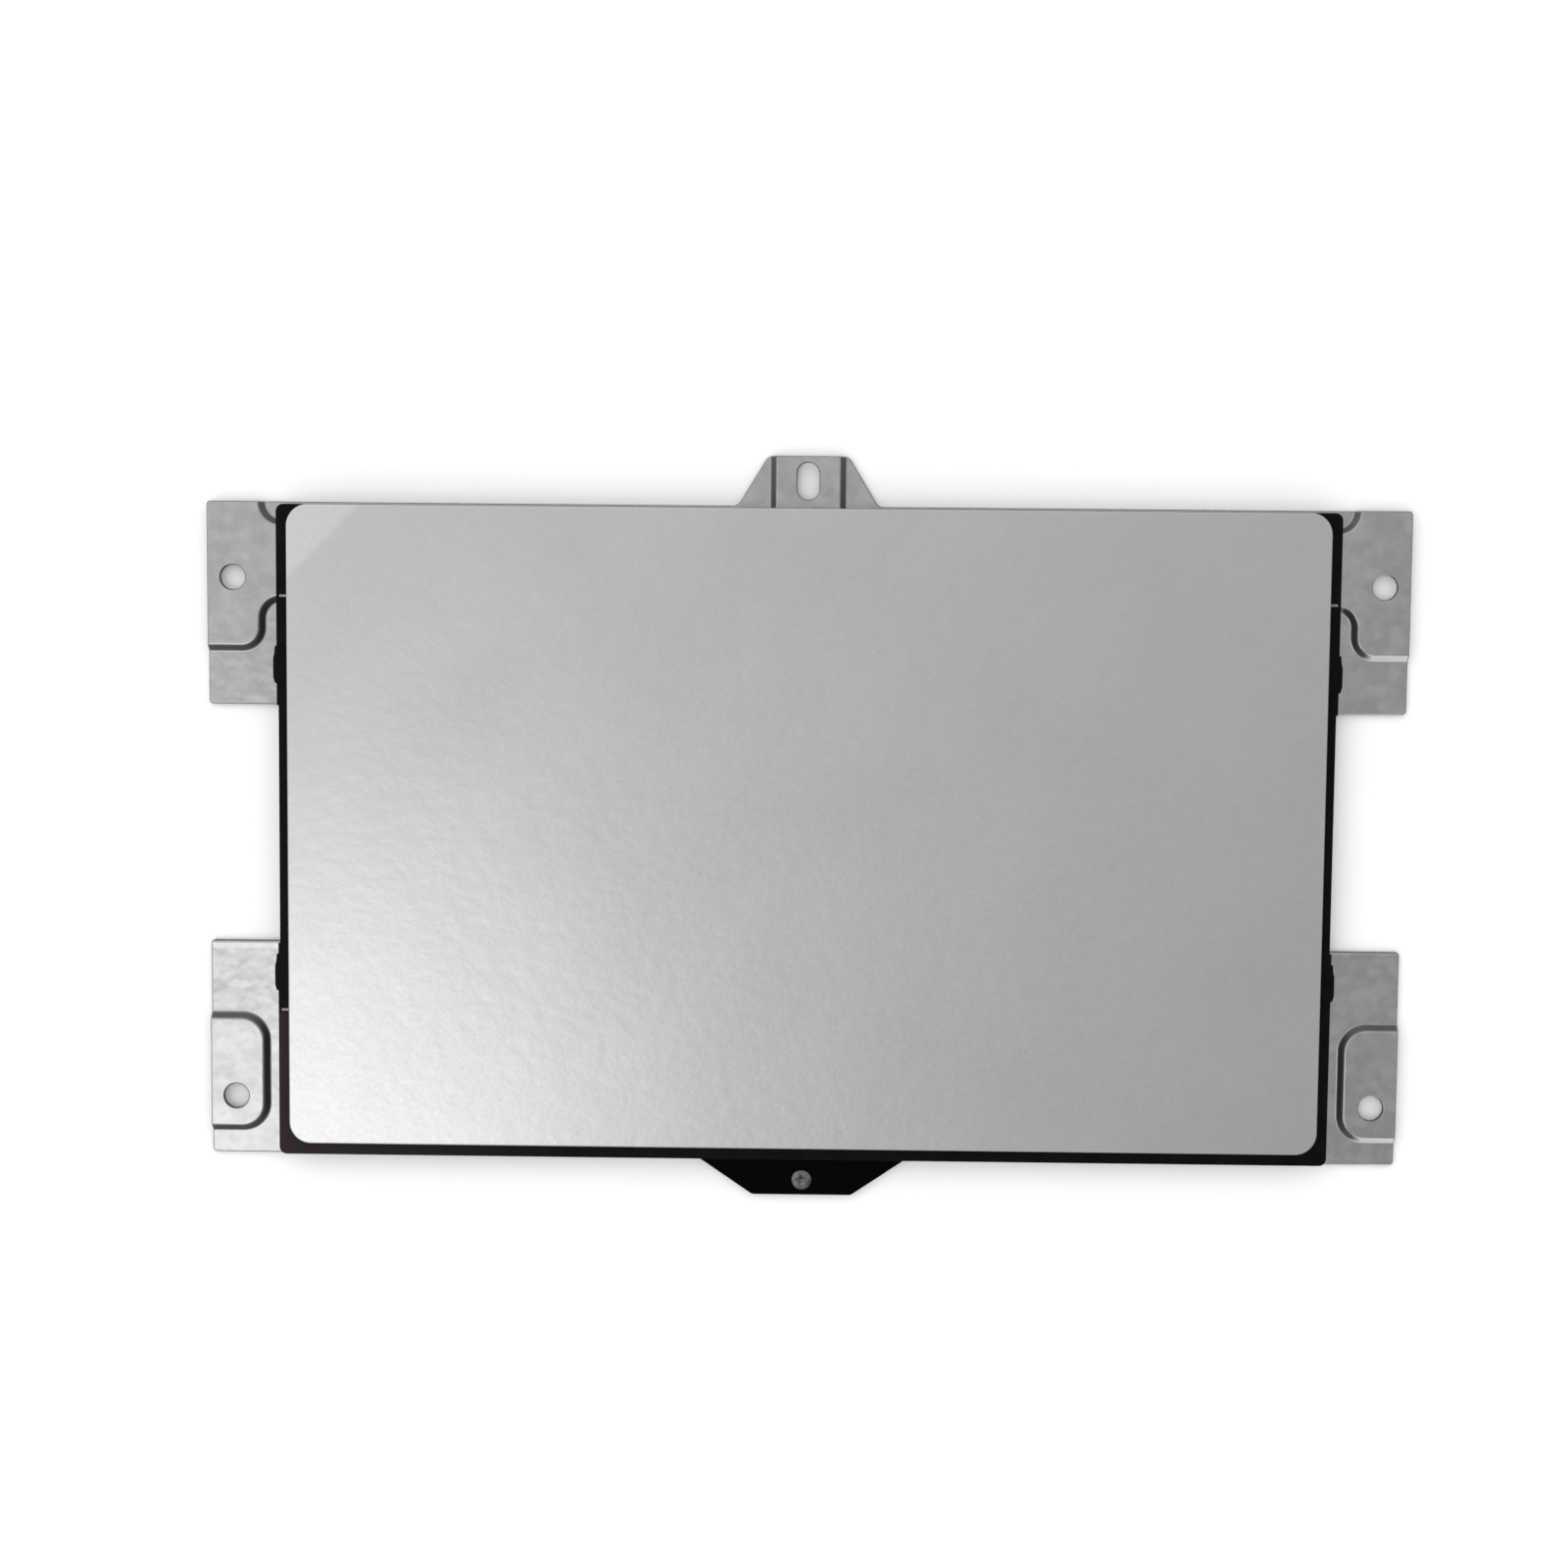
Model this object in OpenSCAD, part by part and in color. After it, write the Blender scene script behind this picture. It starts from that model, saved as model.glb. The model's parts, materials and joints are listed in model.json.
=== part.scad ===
// Clickpad module of a portable computer, in millimetres.
// +X runs to the right, +Y to the rear and +Z out of the touch face.
// The origin lies under the middle of the module, on the bracket's underside.

/* [Touch cover] */
// Cover width
cover_w = 112; // [104:0.5:124]
// Cover depth
cover_d = 69.5; // [62:0.5:80]
// Cover thickness
cover_t = 0.7; // [0.5:0.05:1.1]
// Cover corner radius
cover_r = 2.4; // [1:0.1:4]
// Bevel around the touch face
cover_bevel = 0.2; // [0.1:0.05:0.3]
// Thickness of the glue film under the cover
cover_glue_t = 0.1; // [0.05:0.01:0.2]
// Set-back of the glue films from the edges that they hold
glue_inset = 0.6; // [0.3:0.1:1.5]

/* [Sensor board] */
// Border of the board beyond the cover at each side
board_side = 1.23; // [0.8:0.01:1.6]
// Border of the board beyond the cover at the front
board_front = 1.33; // [0.8:0.01:1.8]
// Border of the board beyond the cover at the rear
board_rear = 0; // [0:0.05:0.4]
// Board thickness
board_t = 0.8; // [0.6:0.1:1.2]
// Board corner radius
board_r = 0.8; // [0.4:0.1:1.5]
// Length of the break-off nubs on the board's sides
nub_len = 4; // [2:0.5:6]
// Reach of the nubs beyond the board's sides
nub_out = 0.37; // [0.15:0.01:0.5]
// Distance of the rear nubs behind the middle
nub_rear_y = 17.5; // [15:0.5:20]
// Distance of the front nubs in front of the middle
nub_front_y = 16; // [14:0.5:20]
// Set-back of the board's sides between the wings
waist_in = 0.2; // [0.1:0.05:0.4]
// Distance from the rear nubs to the set-back part of the sides
waist_rear = 2.4; // [0.5:0.1:4]
// Distance from the front nubs to the set-back part of the sides
waist_front = 1.2; // [0.5:0.1:4]

/* [Stiffener plate] */
// Stiffener thickness
stiff_t = 0.4; // [0.3:0.05:0.6]
// Set-back of the stiffener from the board's edges
stiff_inset = 1.5; // [1:0.1:3]
// Stiffener corner radius
stiff_r = 1.5; // [0.5:0.1:3]
// Thickness of the glue film between stiffener and board
board_glue_t = 0.1; // [0.05:0.01:0.2]
// Room around the switch in the stiffener
switch_room = 2.1; // [1.2:0.1:3]

/* [Mounting bracket] */
// Sheet thickness
sheet_t = 0.6; // [0.5:0.05:0.8]
// Height of the raised areas
raise = 0.6; // [0.5:0.05:0.9]
// Reach of the wings beyond the board's sides
wing_reach = 7.87; // [7.4:0.01:9]
// Reach of the front wings beyond the board's front edge
wing_front = 0.32; // [0.1:0.01:0.8]
// Strip of bracket behind the cover
rear_strip = 0.35; // [0.3:0.05:1.5]
// Length of each rear wing along Y
rear_wing_len = 21.95; // [20:0.05:25]
// Length of each front wing along Y
front_wing_len = 23.6; // [20:0.1:26]
// Set-back of the bracket's sides and front behind the board's edges
plate_inset = 0.8; // [0.5:0.1:1.5]
// Outer corner radius of the wings
wing_r = 0.4; // [0.3:0.1:2]
// Inner corner radius at the wing roots
wing_root_r = 1; // [0.4:0.1:2]

/* [Mounting holes] */
// Diameter of the four mounting holes
hole_d = 2.7; // [2:0.1:3.2]
// Distance from the wing's outer edge to the hole
hole_edge = 2.8; // [2.2:0.1:3.4]
// Distance from the bracket's rear edge to the rear holes
hole_rear = 8.15; // [6:0.05:11]
// Distance from the front wings' front edge to the front holes
hole_front = 6.4; // [5.5:0.1:11]

/* [Raised areas] */
// Distance from the bracket's rear edge to the cross rib
rib_rear = 2.25; // [2.2:0.05:3.2]
// Width of the cross rib along Y
rib_w = 8.2; // [7.5:0.1:8.6]
// Width of the raised area on each rear wing
lobe_w = 5.9; // [5:0.1:6.3]
// Length of the raised area on each rear wing, from the rear edge
lobe_len = 15.85; // [15.8:0.05:18]
// Width of the raised area on each front wing
foot_w = 6.1; // [5:0.1:6.5]
// Length of the raised area on each front wing
foot_len = 12.5; // [9:0.1:14]
// Distance from the front wing's front edge to its raised area
foot_front = 2.8; // [2:0.1:4]
// Corner radius of the cross rib and its raised areas
raised_r = 2.2; // [1.2:0.1:2.3]
// Corner radius of the raised area on each front wing
foot_corner = 2.7; // [1.2:0.1:3]
// Width of the raised channel that leads into the rear tab
channel_w = 7.5; // [6:0.1:8]

/* [Rear and front tabs] */
// Length of the rear tab behind the bracket's rear edge
rear_tab_len = 5.35; // [4.8:0.05:7]
// Rear tab width at its root
rear_root_w = 15.2; // [12:0.1:18]
// Rear tab width at its end
rear_end_w = 8.7; // [8.4:0.1:10]
// Width of the slot in the rear tab
slot_w = 2.4; // [1.6:0.1:3]
// Length of the slot in the rear tab
slot_len = 4; // [3.2:0.1:4.4]
// Metal left between the slot and the end of the rear tab
slot_end = 0.7; // [0.5:0.1:1]
// Front tab width at its root
front_root_w = 22.7; // [19:0.1:26]
// Front tab width at its end
front_end_w = 10.9; // [9:0.1:13]
// Length of the front tab in front of the wings' front edge
front_tab_len = 4; // [3.6:0.1:6]
// Corner radius of the tabs
tab_r = 0.9; // [0.3:0.1:1.2]
// Set-back of the bracket's lip under the front tab
lip_inset = 0.3; // [0.1:0.1:0.6]

/* [Bracket windows] */
// Width of the side windows
window_w = 11; // [8:0.5:12]
// Length of the side windows
window_len = 28; // [22:1:32]
// Distance between the middles of the side windows
window_pitch = 16; // [14:0.5:17]
// Distance of the inner side windows from the middle
window_x = 27; // [25:0.5:29]
// Distance of the side windows' middle in front of the module's middle
window_y = 3; // [0:0.5:5]
// Corner radius of all windows
window_r = 1.5; // [0.5:0.1:3]
// Width of the two service windows
service_w = 12; // [11:0.5:12.5]
// Length of the two service windows along Y
service_len = 11.5; // [11:0.5:12.5]
// Distance of the service windows from the middle
service_x = 10.5; // [10:0.1:11]
// Distance of the service windows behind the middle
service_y = 2.5; // [1.5:0.1:3]
// Growth of the stiffener's service windows over the bracket's
service_room = 1; // [0.8:0.1:1.5]

/* [Hinge leaves] */
// Thickness of the spring leaves
leaf_t = 0.2; // [0.15:0.01:0.3]
// Width of each leaf
leaf_w = 16; // [15:0.5:20]
// Distance from the board's sides in to the leaves' middles
leaf_side = 19.2; // [14:0.1:24]
// Leaf length on the rib, behind the bend
leaf_back = 7; // [6:0.1:7.4]
// Leaf length under the stiffener, in front of the bend
leaf_fore = 9.6; // [8.6:0.1:10]
// Corner radius of the leaves
leaf_r = 1; // [0.4:0.1:2]
// Width of the relief slot on the bend line
relief_w = 7; // [4:0.5:9]
// Length of the relief slot across the bend line
relief_len = 3.4; // [2.6:0.1:4]
// Corner radius of the relief slot
relief_r = 1.1; // [0.4:0.1:1.2]

/* [Rivets] */
// Rivet shank diameter
rivet_d = 1.6; // [1.2:0.1:2]
// Rivet head diameter
rivet_head_d = 2.6; // [2.3:0.1:3]
// Rivet head height
rivet_head_h = 0.25; // [0.15:0.05:0.3]
// Distance between the rivets of a pair
rivet_pitch = 10; // [8:0.5:11]
// Distance of the leaf rivets behind the bend
rivet_back = 4; // [3.5:0.1:4.4]
// Distance of the pad rivets in front of the bend
rivet_fore = 6; // [5:0.1:6.5]
// Room around shanks in their holes
fit_gap = 0.02; // [0.01:0.01:0.04]
// Room around the leaf rivets' heads in the stiffener
head_room = 0.4; // [0.3:0.1:0.8]

/* [Click anvil] */
// Anvil thickness
anvil_t = 0.3; // [0.2:0.02:0.34]
// Reach of the anvil behind the switch's middle
anvil_back = 4; // [3:0.1:6]
// Anvil screw shank diameter
screw_d = 1.4; // [1:0.1:1.6]
// Anvil screw head diameter
screw_head_d = 2.25; // [2:0.05:2.8]
// Anvil screw head height
screw_head_h = 0.4; // [0.3:0.05:0.6]
// Distance of the screw from the front tab's end
screw_end = 1.75; // [1.6:0.05:2.1]
// Length of the cross recess in the screw head
recess_len = 1.35; // [0.8:0.05:1.6]
// Width of the cross recess in the screw head
recess_w = 0.4; // [0.3:0.05:0.5]
// Depth of the cross recess in the screw head
recess_depth = 0.2; // [0.1:0.05:0.25]
// Diameter of the two flush rivets of the anvil
pin_d = 1.5; // [1.2:0.1:2]
// Countersink of the flush rivets at both faces
pin_flare = 0.25; // [0.15:0.05:0.3]
// Distance of the flush rivets from the middle
pin_x = 8; // [6.5:0.1:9]
// Distance of the flush rivets from the anvil's rear edge
pin_back = 3.4; // [2:0.1:5]

/* [Front bumpers] */
// Bumper diameter at the bracket
bumper_d = 5; // [3:0.5:7]
// Free room between the bumpers and the stiffener
bumper_room = 0.3; // [0.28:0.01:0.4]
// Taper of the bumper's rim
bumper_taper = 0.3; // [0.1:0.1:0.6]
// Distance from the board's sides in to the bumpers
bumper_side = 17.2; // [10:0.1:30]
// Distance from the board's front edge in to the bumpers
bumper_front = 6.1; // [5:0.1:9]

/* [Click switch] */
// Distance from the board's front edge in to the switch
switch_front = 8.08; // [7.5:0.01:10]
// Wall of the switch base around the dome well
switch_wall = 0.5; // [0.4:0.05:0.8]
// Thickness of the base under the dome
switch_floor = 0.12; // [0.08:0.01:0.14]
// Room around the dome in its well
well_gap = 0.2; // [0.1:0.05:0.3]
// Dome diameter
dome_d = 3.8; // [3.2:0.1:4.4]
// Dome height
dome_h = 0.3; // [0.26:0.01:0.34]
// Dome sheet thickness
dome_t = 0.06; // [0.04:0.01:0.08]
// Thickness of the switch's metal cover
switch_cover_t = 0.12; // [0.1:0.01:0.14]
// Length of the two clips of the metal cover
clip_len = 2.4; // [1.6:0.1:3.2]
// Reach of the clips up the switch base
clip_h = 0.38; // [0.2:0.01:0.5]
// Plunger stem diameter
stem_d = 1.8; // [1.4:0.1:2.2]
// Plunger flange diameter
flange_d = 3; // [2.8:0.1:3.4]
// Plunger flange thickness
flange_t = 0.1; // [0.06:0.01:0.11]
// Room around the stem in the metal cover
stem_gap = 0.2; // [0.1:0.05:0.25]
// Free gap of the plunger over the anvil and under its own cover
click_gap = 0.02; // [0.01:0.005:0.04]
// Width of the switch's solder terminals
terminal_w = 0.8; // [0.5:0.1:1]
// Reach of the switch's solder terminals
terminal_len = 0.7; // [0.5:0.1:1]
// Thickness of the switch's solder terminals
terminal_t = 0.15; // [0.1:0.01:0.2]

/* [Cable connector] */
// Housing wall outside the latch pins
conn_cheek = 0.24; // [0.15:0.01:0.4]
// Housing wall behind the latch
conn_back = 1.34; // [1.1:0.01:1.6]
// Depth of the latch below the housing's rim
latch_sink = 0.07; // [0.04:0.01:0.12]
// Distance of the connector behind the service window's middle
conn_y = 2; // [1.5:0.1:2.4]
// Height of the housing's floor over the board
conn_floor = 0.35; // [0.25:0.05:0.4]
// Clear height of the cable slot
cable_h = 0.3; // [0.25:0.05:0.35]
// Depth of the cable slot
cable_depth = 3; // [2.7:0.1:3.3]
// Room for the cable beside the outer contacts
cable_side = 0.75; // [0.5:0.05:1]
// Number of contacts
contact_count = 8; // [4:1:10]
// Contact pitch
contact_pitch = 0.5; // [0.4:0.05:0.55]
// Contact width
contact_w = 0.2; // [0.15:0.01:0.25]
// Contact thickness
contact_t = 0.1; // [0.06:0.01:0.12]
// Length of the contact fingers inside the housing
finger_len = 3.4; // [2.6:0.1:3.6]
// Length of the contacts' solder feet
foot_out = 0.7; // [0.5:0.1:1]
// Reach of the latch beyond the cable at each side
latch_over = 0.7; // [0.5:0.05:0.9]
// Latch thickness
latch_t = 0.4; // [0.3:0.05:0.4]
// Latch length in front of its pins
latch_len = 2.3; // [2:0.1:2.3]
// Latch pin diameter
latch_pin_d = 0.24; // [0.18:0.02:0.26]
// Latch pin length
latch_pin_len = 0.4; // [0.3:0.05:0.5]
// Room around the latch and its pins
latch_gap = 0.08; // [0.05:0.01:0.1]
// Width of the solder anchors beside the housing
anchor_w = 0.6; // [0.4:0.05:0.8]
// Length of the solder anchors
anchor_len = 1.6; // [1:0.1:2]
// Thickness of the solder anchors
anchor_t = 0.12; // [0.08:0.01:0.15]
// Height of the solder anchors on the housing's sides
anchor_h = 0.65; // [0.4:0.05:0.9]

/* [Board components] */
// Side of the square touch controller
chip_w = 5; // [4:0.1:6]
// Controller height
chip_h = 0.85; // [0.6:0.05:0.95]
// Distance of the controller behind the service window's middle
chip_y = 1.7; // [1.2:0.1:2.2]
// Diameter of the controller's first-pin mark
mark_d = 0.6; // [0.4:0.1:1]
// Depth of the controller's first-pin mark
mark_depth = 0.06; // [0.03:0.01:0.1]
// Length of the small capacitors and resistors
small_len = 1; // [0.8:0.1:1.2]
// Width of the small capacitors and resistors
small_w = 0.5; // [0.4:0.05:0.6]
// Capacitor height
cap_h = 0.5; // [0.4:0.05:0.6]
// Resistor height
res_h = 0.35; // [0.25:0.05:0.45]
// Length of the soldered ends
small_end = 0.25; // [0.15:0.05:0.3]
// Thickness of the soldered ends' plating
plating = 0.03; // [0.02:0.01:0.05]
// Capacitors in each of the two rows beside the controller
cap_count = 5; // [3:1:5]
// Distance between capacitors
cap_pitch = 1.3; // [1.1:0.1:1.5]
// Room between the controller and the small components
small_gap = 1.2; // [0.8:0.1:1.4]
// Number of resistors
res_count = 6; // [3:1:7]
// Distance between resistors
res_pitch = 1.5; // [1.3:0.1:1.6]

/* [Hidden] */
$fn = 64;
arc_steps = 8;
past = 1;
board_hw = cover_w / 2 + board_side;
board_front_y = -cover_d / 2 - board_front;
board_rear_y = cover_d / 2 + board_rear;
bracket_hw = board_hw + wing_reach;
bracket_rear_y = cover_d / 2 + rear_strip;
plate_hw = board_hw - plate_inset;
plate_front_y = board_front_y + plate_inset;
wing_front_y = board_front_y - wing_front;
rear_tab_y = bracket_rear_y + rear_tab_len;
front_tab_y = wing_front_y - front_tab_len;
rib_rear_y = bracket_rear_y - rib_rear;
bend_y = rib_rear_y - rib_w;
rib_r = min(raised_r, (lobe_len - rib_rear - rib_w) / 2);
foot_r = min(foot_corner, foot_len / 2 - sheet_t);
hole_x = bracket_hw - hole_edge;
hole_rear_y = bracket_rear_y - hole_rear;
hole_front_y = wing_front_y + hole_front;
raised_z = sheet_t + raise;
leaf_z = raised_z + leaf_t;
stiff_z = leaf_z + stiff_t;
board_z = stiff_z + board_glue_t;
board_top_z = board_z + board_t;
cover_z = board_top_z + cover_glue_t;
anvil_z = sheet_t + anvil_t;
screw_y = front_tab_y + screw_end;
switch_y = board_front_y + switch_front;
anvil_rear_y = switch_y + anvil_back;
pin_y = anvil_rear_y - pin_back;
leaf_x = board_hw - leaf_side;
bumper_h = leaf_z - sheet_t - bumper_room;
stiff_front_y = board_front_y + stiff_inset;
stiff_rear_y = board_rear_y - stiff_inset;
stiff_hw = board_hw - stiff_inset;
dome_ball_r = (dome_d * dome_d / 4 + dome_h * dome_h) / (2 * dome_h);
well_d = dome_d + 2 * well_gap;
switch_w = well_d + 2 * switch_wall;
flange_z = switch_floor + dome_h + click_gap;
switch_h = flange_z + flange_t + click_gap;
stem_tip = board_z - anvil_z - click_gap;
cable_w = (contact_count - 1) * contact_pitch + 2 * cable_side;
latch_w = cable_w + 2 * latch_over;
bay_w = latch_w + 2 * latch_gap;
bay_depth = latch_len + latch_t / 2 + 2 * latch_gap;
latch_z = conn_floor + cable_h + latch_gap;
latch_axis = latch_z + latch_t / 2;
conn_w = bay_w + 2 * (latch_pin_len + latch_gap + conn_cheek);
conn_d = bay_depth + conn_back;
conn_h = latch_z + latch_t + latch_sink;
latch_front = latch_gap - conn_d / 2;
latch_back = latch_front + latch_len;

// Outlines as lists of corners, each a place and a corner radius
function flat(p) = [p.x, p.y];
function unit(v) = v / norm(v);
function short_turn(a) = a > 180 ? a - 360 : (a < -180 ? a + 360 : a);
function corner_arc(from, at, to, r) =
  r == 0
    ? [flat(at)]
    : let (
        back = unit(flat(from) - flat(at)),
        on = unit(flat(to) - flat(at)),
        half = acos(back * on) / 2,
        middle = flat(at) + unit(back + on) * r / sin(half),
        first = flat(at) + back * r / tan(half) - middle,
        last = flat(at) + on * r / tan(half) - middle,
        start = atan2(first.y, first.x),
        turn = short_turn(atan2(last.y, last.x) - start)
      )
      [for (i = [0 : arc_steps])
        middle + r * [cos(start + turn * i / arc_steps), sin(start + turn * i / arc_steps)]];
function round_path(corners) =
  let (n = len(corners))
  [for (i = [0 : n - 1])
    each corner_arc(corners[(i + n - 1) % n], corners[i], corners[(i + 1) % n], corners[i][2])];
function both_sides(half) =
  concat(half, [for (i = [len(half) - 1 : -1 : 0]) [-half[i].x, half[i].y, half[i][2]]]);

module outline(half) {
  polygon(round_path(both_sides(half)));
}

module rounded_rect(w, d, r) {
  outline([[w / 2, -d / 2, r], [w / 2, d / 2, r]]);
}

module slab(z, t) {
  translate([0, 0, z])
    linear_extrude(t)
      children();
}

module drill(x, y, d) {
  translate([x, y, -past])
    cylinder(d = d, h = raised_z + 2 * past);
}

module both_x(x) {
  for (side = [-1, 1])
    translate([side * x, 0])
      children();
}

// Frame under the board, with the height counted downward from it
module under_board(x, y) {
  translate([x, y, board_z])
    mirror([0, 0, 1])
      children();
}

module block(x, y, z, w, d, h) {
  translate([x - w / 2, y - d / 2, z])
    cube([w, d, h]);
}

// Outline of the stamped bracket sheet
module bracket_outline() {
  outline([
    [front_end_w / 2 - lip_inset, front_tab_y + lip_inset, tab_r],
    [front_root_w / 2 - lip_inset, plate_front_y, tab_r],
    [plate_hw, plate_front_y, 0],
    [plate_hw, wing_front_y, 0],
    [bracket_hw, wing_front_y, wing_r],
    [bracket_hw, wing_front_y + front_wing_len, wing_r],
    [plate_hw, wing_front_y + front_wing_len, wing_root_r],
    [plate_hw, bracket_rear_y - rear_wing_len, wing_root_r],
    [bracket_hw, bracket_rear_y - rear_wing_len, wing_r],
    [bracket_hw, bracket_rear_y, wing_r],
    [rear_root_w / 2, bracket_rear_y, tab_r],
    [rear_end_w / 2, rear_tab_y, tab_r]
  ]);
}

// Cross rib that widens on the rear wings and leads into the rear tab
module rib_shape(grow) {
  lobe_x = bracket_hw - lobe_w - grow;
  lobe_y = bracket_rear_y - lobe_len - grow;
  outline([
    [lobe_x, bend_y - grow, rib_r - grow],
    [lobe_x, lobe_y, rib_r + grow],
    [bracket_hw + past, lobe_y, 0],
    [bracket_hw + past, bracket_rear_y + past, 0],
    [lobe_x, bracket_rear_y + past, 0],
    [lobe_x, rib_rear_y + grow, rib_r - grow],
    [channel_w / 2 + grow, rib_rear_y + grow, rib_r - grow],
    [channel_w / 2 + grow, rear_tab_y + past, 0]
  ]);
}

// Raised area of one front wing, open at the outer edge
module foot_shape(grow) {
  foot_x = bracket_hw - foot_w - grow;
  foot_y = wing_front_y + foot_front;
  polygon(round_path([
    [foot_x, foot_y - grow, foot_r + grow],
    [bracket_hw + past, foot_y - grow, 0],
    [bracket_hw + past, foot_y + foot_len + grow, 0],
    [foot_x, foot_y + foot_len + grow, foot_r + grow]
  ]));
}

module raised_shape(grow) {
  rib_shape(grow);
  foot_shape(grow);
  mirror([1, 0])
    foot_shape(grow);
}

module service_windows(grow) {
  translate([0, service_y])
    both_x(service_x)
      rounded_rect(service_w + 2 * grow, service_len + 2 * grow, window_r);
}

module bracket_windows() {
  service_windows(0);
  translate([0, -window_y])
    for (i = [0, 1])
      both_x(window_x + i * window_pitch)
        rounded_rect(window_w, window_len, window_r);
  translate([0, rear_tab_y - slot_end - slot_len / 2])
    rounded_rect(slot_w, slot_len, slot_w / 2 - fit_gap);
}

module mounting_bracket() {
  color("#b4b8b4")
    difference() {
      union() {
        slab(0, sheet_t)
          bracket_outline();
        slab(0, raised_z)
          intersection() {
            bracket_outline();
            raised_shape(0);
          }
      }
      slab(-past, raise + past)
        raised_shape(-sheet_t);
      slab(-past, raised_z + 2 * past)
        bracket_windows();
      for (side = [-1, 1]) {
        drill(side * hole_x, hole_rear_y, hole_d);
        drill(side * hole_x, hole_front_y, hole_d);
        for (end = [-1, 1])
          drill(side * leaf_x + end * rivet_pitch / 2, bend_y + rivet_back, rivet_d + 2 * fit_gap);
        translate([side * pin_x, pin_y])
          flush_rivet(fit_gap);
      }
      drill(0, screw_y, screw_d + 2 * fit_gap);
    }
}

// Flush rivet through bracket and anvil, flared at both faces
module flush_rivet(grow) {
  flare_d = pin_d + 2 * pin_flare + 2 * grow;
  shank_d = pin_d + 2 * grow;
  cylinder(d = shank_d, h = anvil_z);
  cylinder(d1 = flare_d, d2 = shank_d, h = pin_flare);
  translate([0, 0, anvil_z - pin_flare])
    cylinder(d1 = shank_d, d2 = flare_d, h = pin_flare);
}

module anvil_rivets() {
  color("#8f9294")
    translate([0, pin_y])
      both_x(pin_x)
        flush_rivet(0);
}

module click_anvil() {
  color("#1c1c1d")
    difference() {
      slab(sheet_t, anvil_t)
        outline([
          [front_end_w / 2, front_tab_y, tab_r],
          [front_root_w / 2, wing_front_y, tab_r],
          [front_root_w / 2, anvil_rear_y, tab_r]
        ]);
      drill(0, screw_y, screw_d + 2 * fit_gap);
      translate([0, pin_y])
        both_x(pin_x)
          flush_rivet(fit_gap);
    }
}

module anvil_screw() {
  color("#85888a")
    translate([0, screw_y])
      difference() {
        union() {
          cylinder(d = screw_d, h = anvil_z);
          translate([0, 0, anvil_z])
            cylinder(d = screw_head_d, h = screw_head_h);
        }
        for (turn = [0, 90])
          rotate(turn)
            block(0, 0, anvil_z + screw_head_h - recess_depth, recess_len, recess_w, past);
      }
}

// Flat spring that joins the rib to the stiffener and bends in between
module hinge_leaf() {
  slab(raised_z, leaf_t)
    translate([0, bend_y])
      difference() {
        polygon(round_path([
          [leaf_w / 2, -leaf_fore, leaf_r],
          [leaf_w / 2, leaf_back, leaf_r],
          [-leaf_w / 2, leaf_back, leaf_r],
          [-leaf_w / 2, -leaf_fore, leaf_r]
        ]));
        rounded_rect(relief_w, relief_len, relief_r);
        both_x(rivet_pitch / 2) {
          translate([0, rivet_back])
            circle(d = rivet_d + 2 * fit_gap);
          translate([0, -rivet_fore])
            circle(d = rivet_d + 2 * fit_gap);
        }
      }
}

module hinge_leaf_left() {
  color("#c2c3bd")
    translate([-leaf_x, 0])
      hinge_leaf();
}

module hinge_leaf_right() {
  color("#c2c3bd")
    translate([leaf_x, 0])
      hinge_leaf();
}

module rivet_places() {
  for (side = [-1, 1], end = [-1, 1])
    translate([side * leaf_x + end * rivet_pitch / 2, bend_y])
      children();
}

module leaf_rivets() {
  color("#9a9da0")
    rivet_places()
      translate([0, rivet_back, raise]) {
        translate([0, 0, -rivet_head_h])
          cylinder(d = rivet_head_d, h = rivet_head_h);
        cylinder(d = rivet_d, h = sheet_t + leaf_t);
        translate([0, 0, sheet_t + leaf_t])
          cylinder(d = rivet_head_d, h = rivet_head_h);
      }
}

module pad_rivets() {
  color("#9a9da0")
    rivet_places()
      translate([0, -rivet_fore, raised_z]) {
        translate([0, 0, -rivet_head_h])
          cylinder(d = rivet_head_d, h = rivet_head_h);
        cylinder(d = rivet_d, h = leaf_t + stiff_t);
      }
}

module front_bumpers() {
  color("#2b2b2c")
    translate([0, board_front_y + bumper_front, sheet_t])
      both_x(board_hw - bumper_side) {
        cylinder(d = bumper_d, h = bumper_h - bumper_taper / 2);
        translate([0, 0, bumper_h - bumper_taper / 2])
          cylinder(d1 = bumper_d, d2 = bumper_d - bumper_taper, h = bumper_taper / 2);
      }
}

module stiffener_windows(grow) {
  service_windows(service_room + grow);
  translate([0, switch_y])
    rounded_rect(switch_w + 2 * (switch_room + grow), switch_w + 2 * (switch_room + grow), window_r);
}

module stiffener_outline(inset) {
  outline([
    [stiff_hw - inset, stiff_front_y + inset, stiff_r],
    [stiff_hw - inset, stiff_rear_y - inset, stiff_r]
  ]);
}

module stiffener_plate() {
  color("#a9acae")
    slab(leaf_z, stiff_t)
      difference() {
        stiffener_outline(0);
        stiffener_windows(0);
        rivet_places() {
          translate([0, rivet_back])
            circle(d = rivet_head_d + 2 * head_room);
          translate([0, -rivet_fore])
            circle(d = rivet_d + 2 * fit_gap);
        }
      }
}

module board_adhesive() {
  color("#d8d4c4")
    slab(stiff_z, board_glue_t)
      difference() {
        stiffener_outline(glue_inset);
        stiffener_windows(glue_inset);
      }
}

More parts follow.
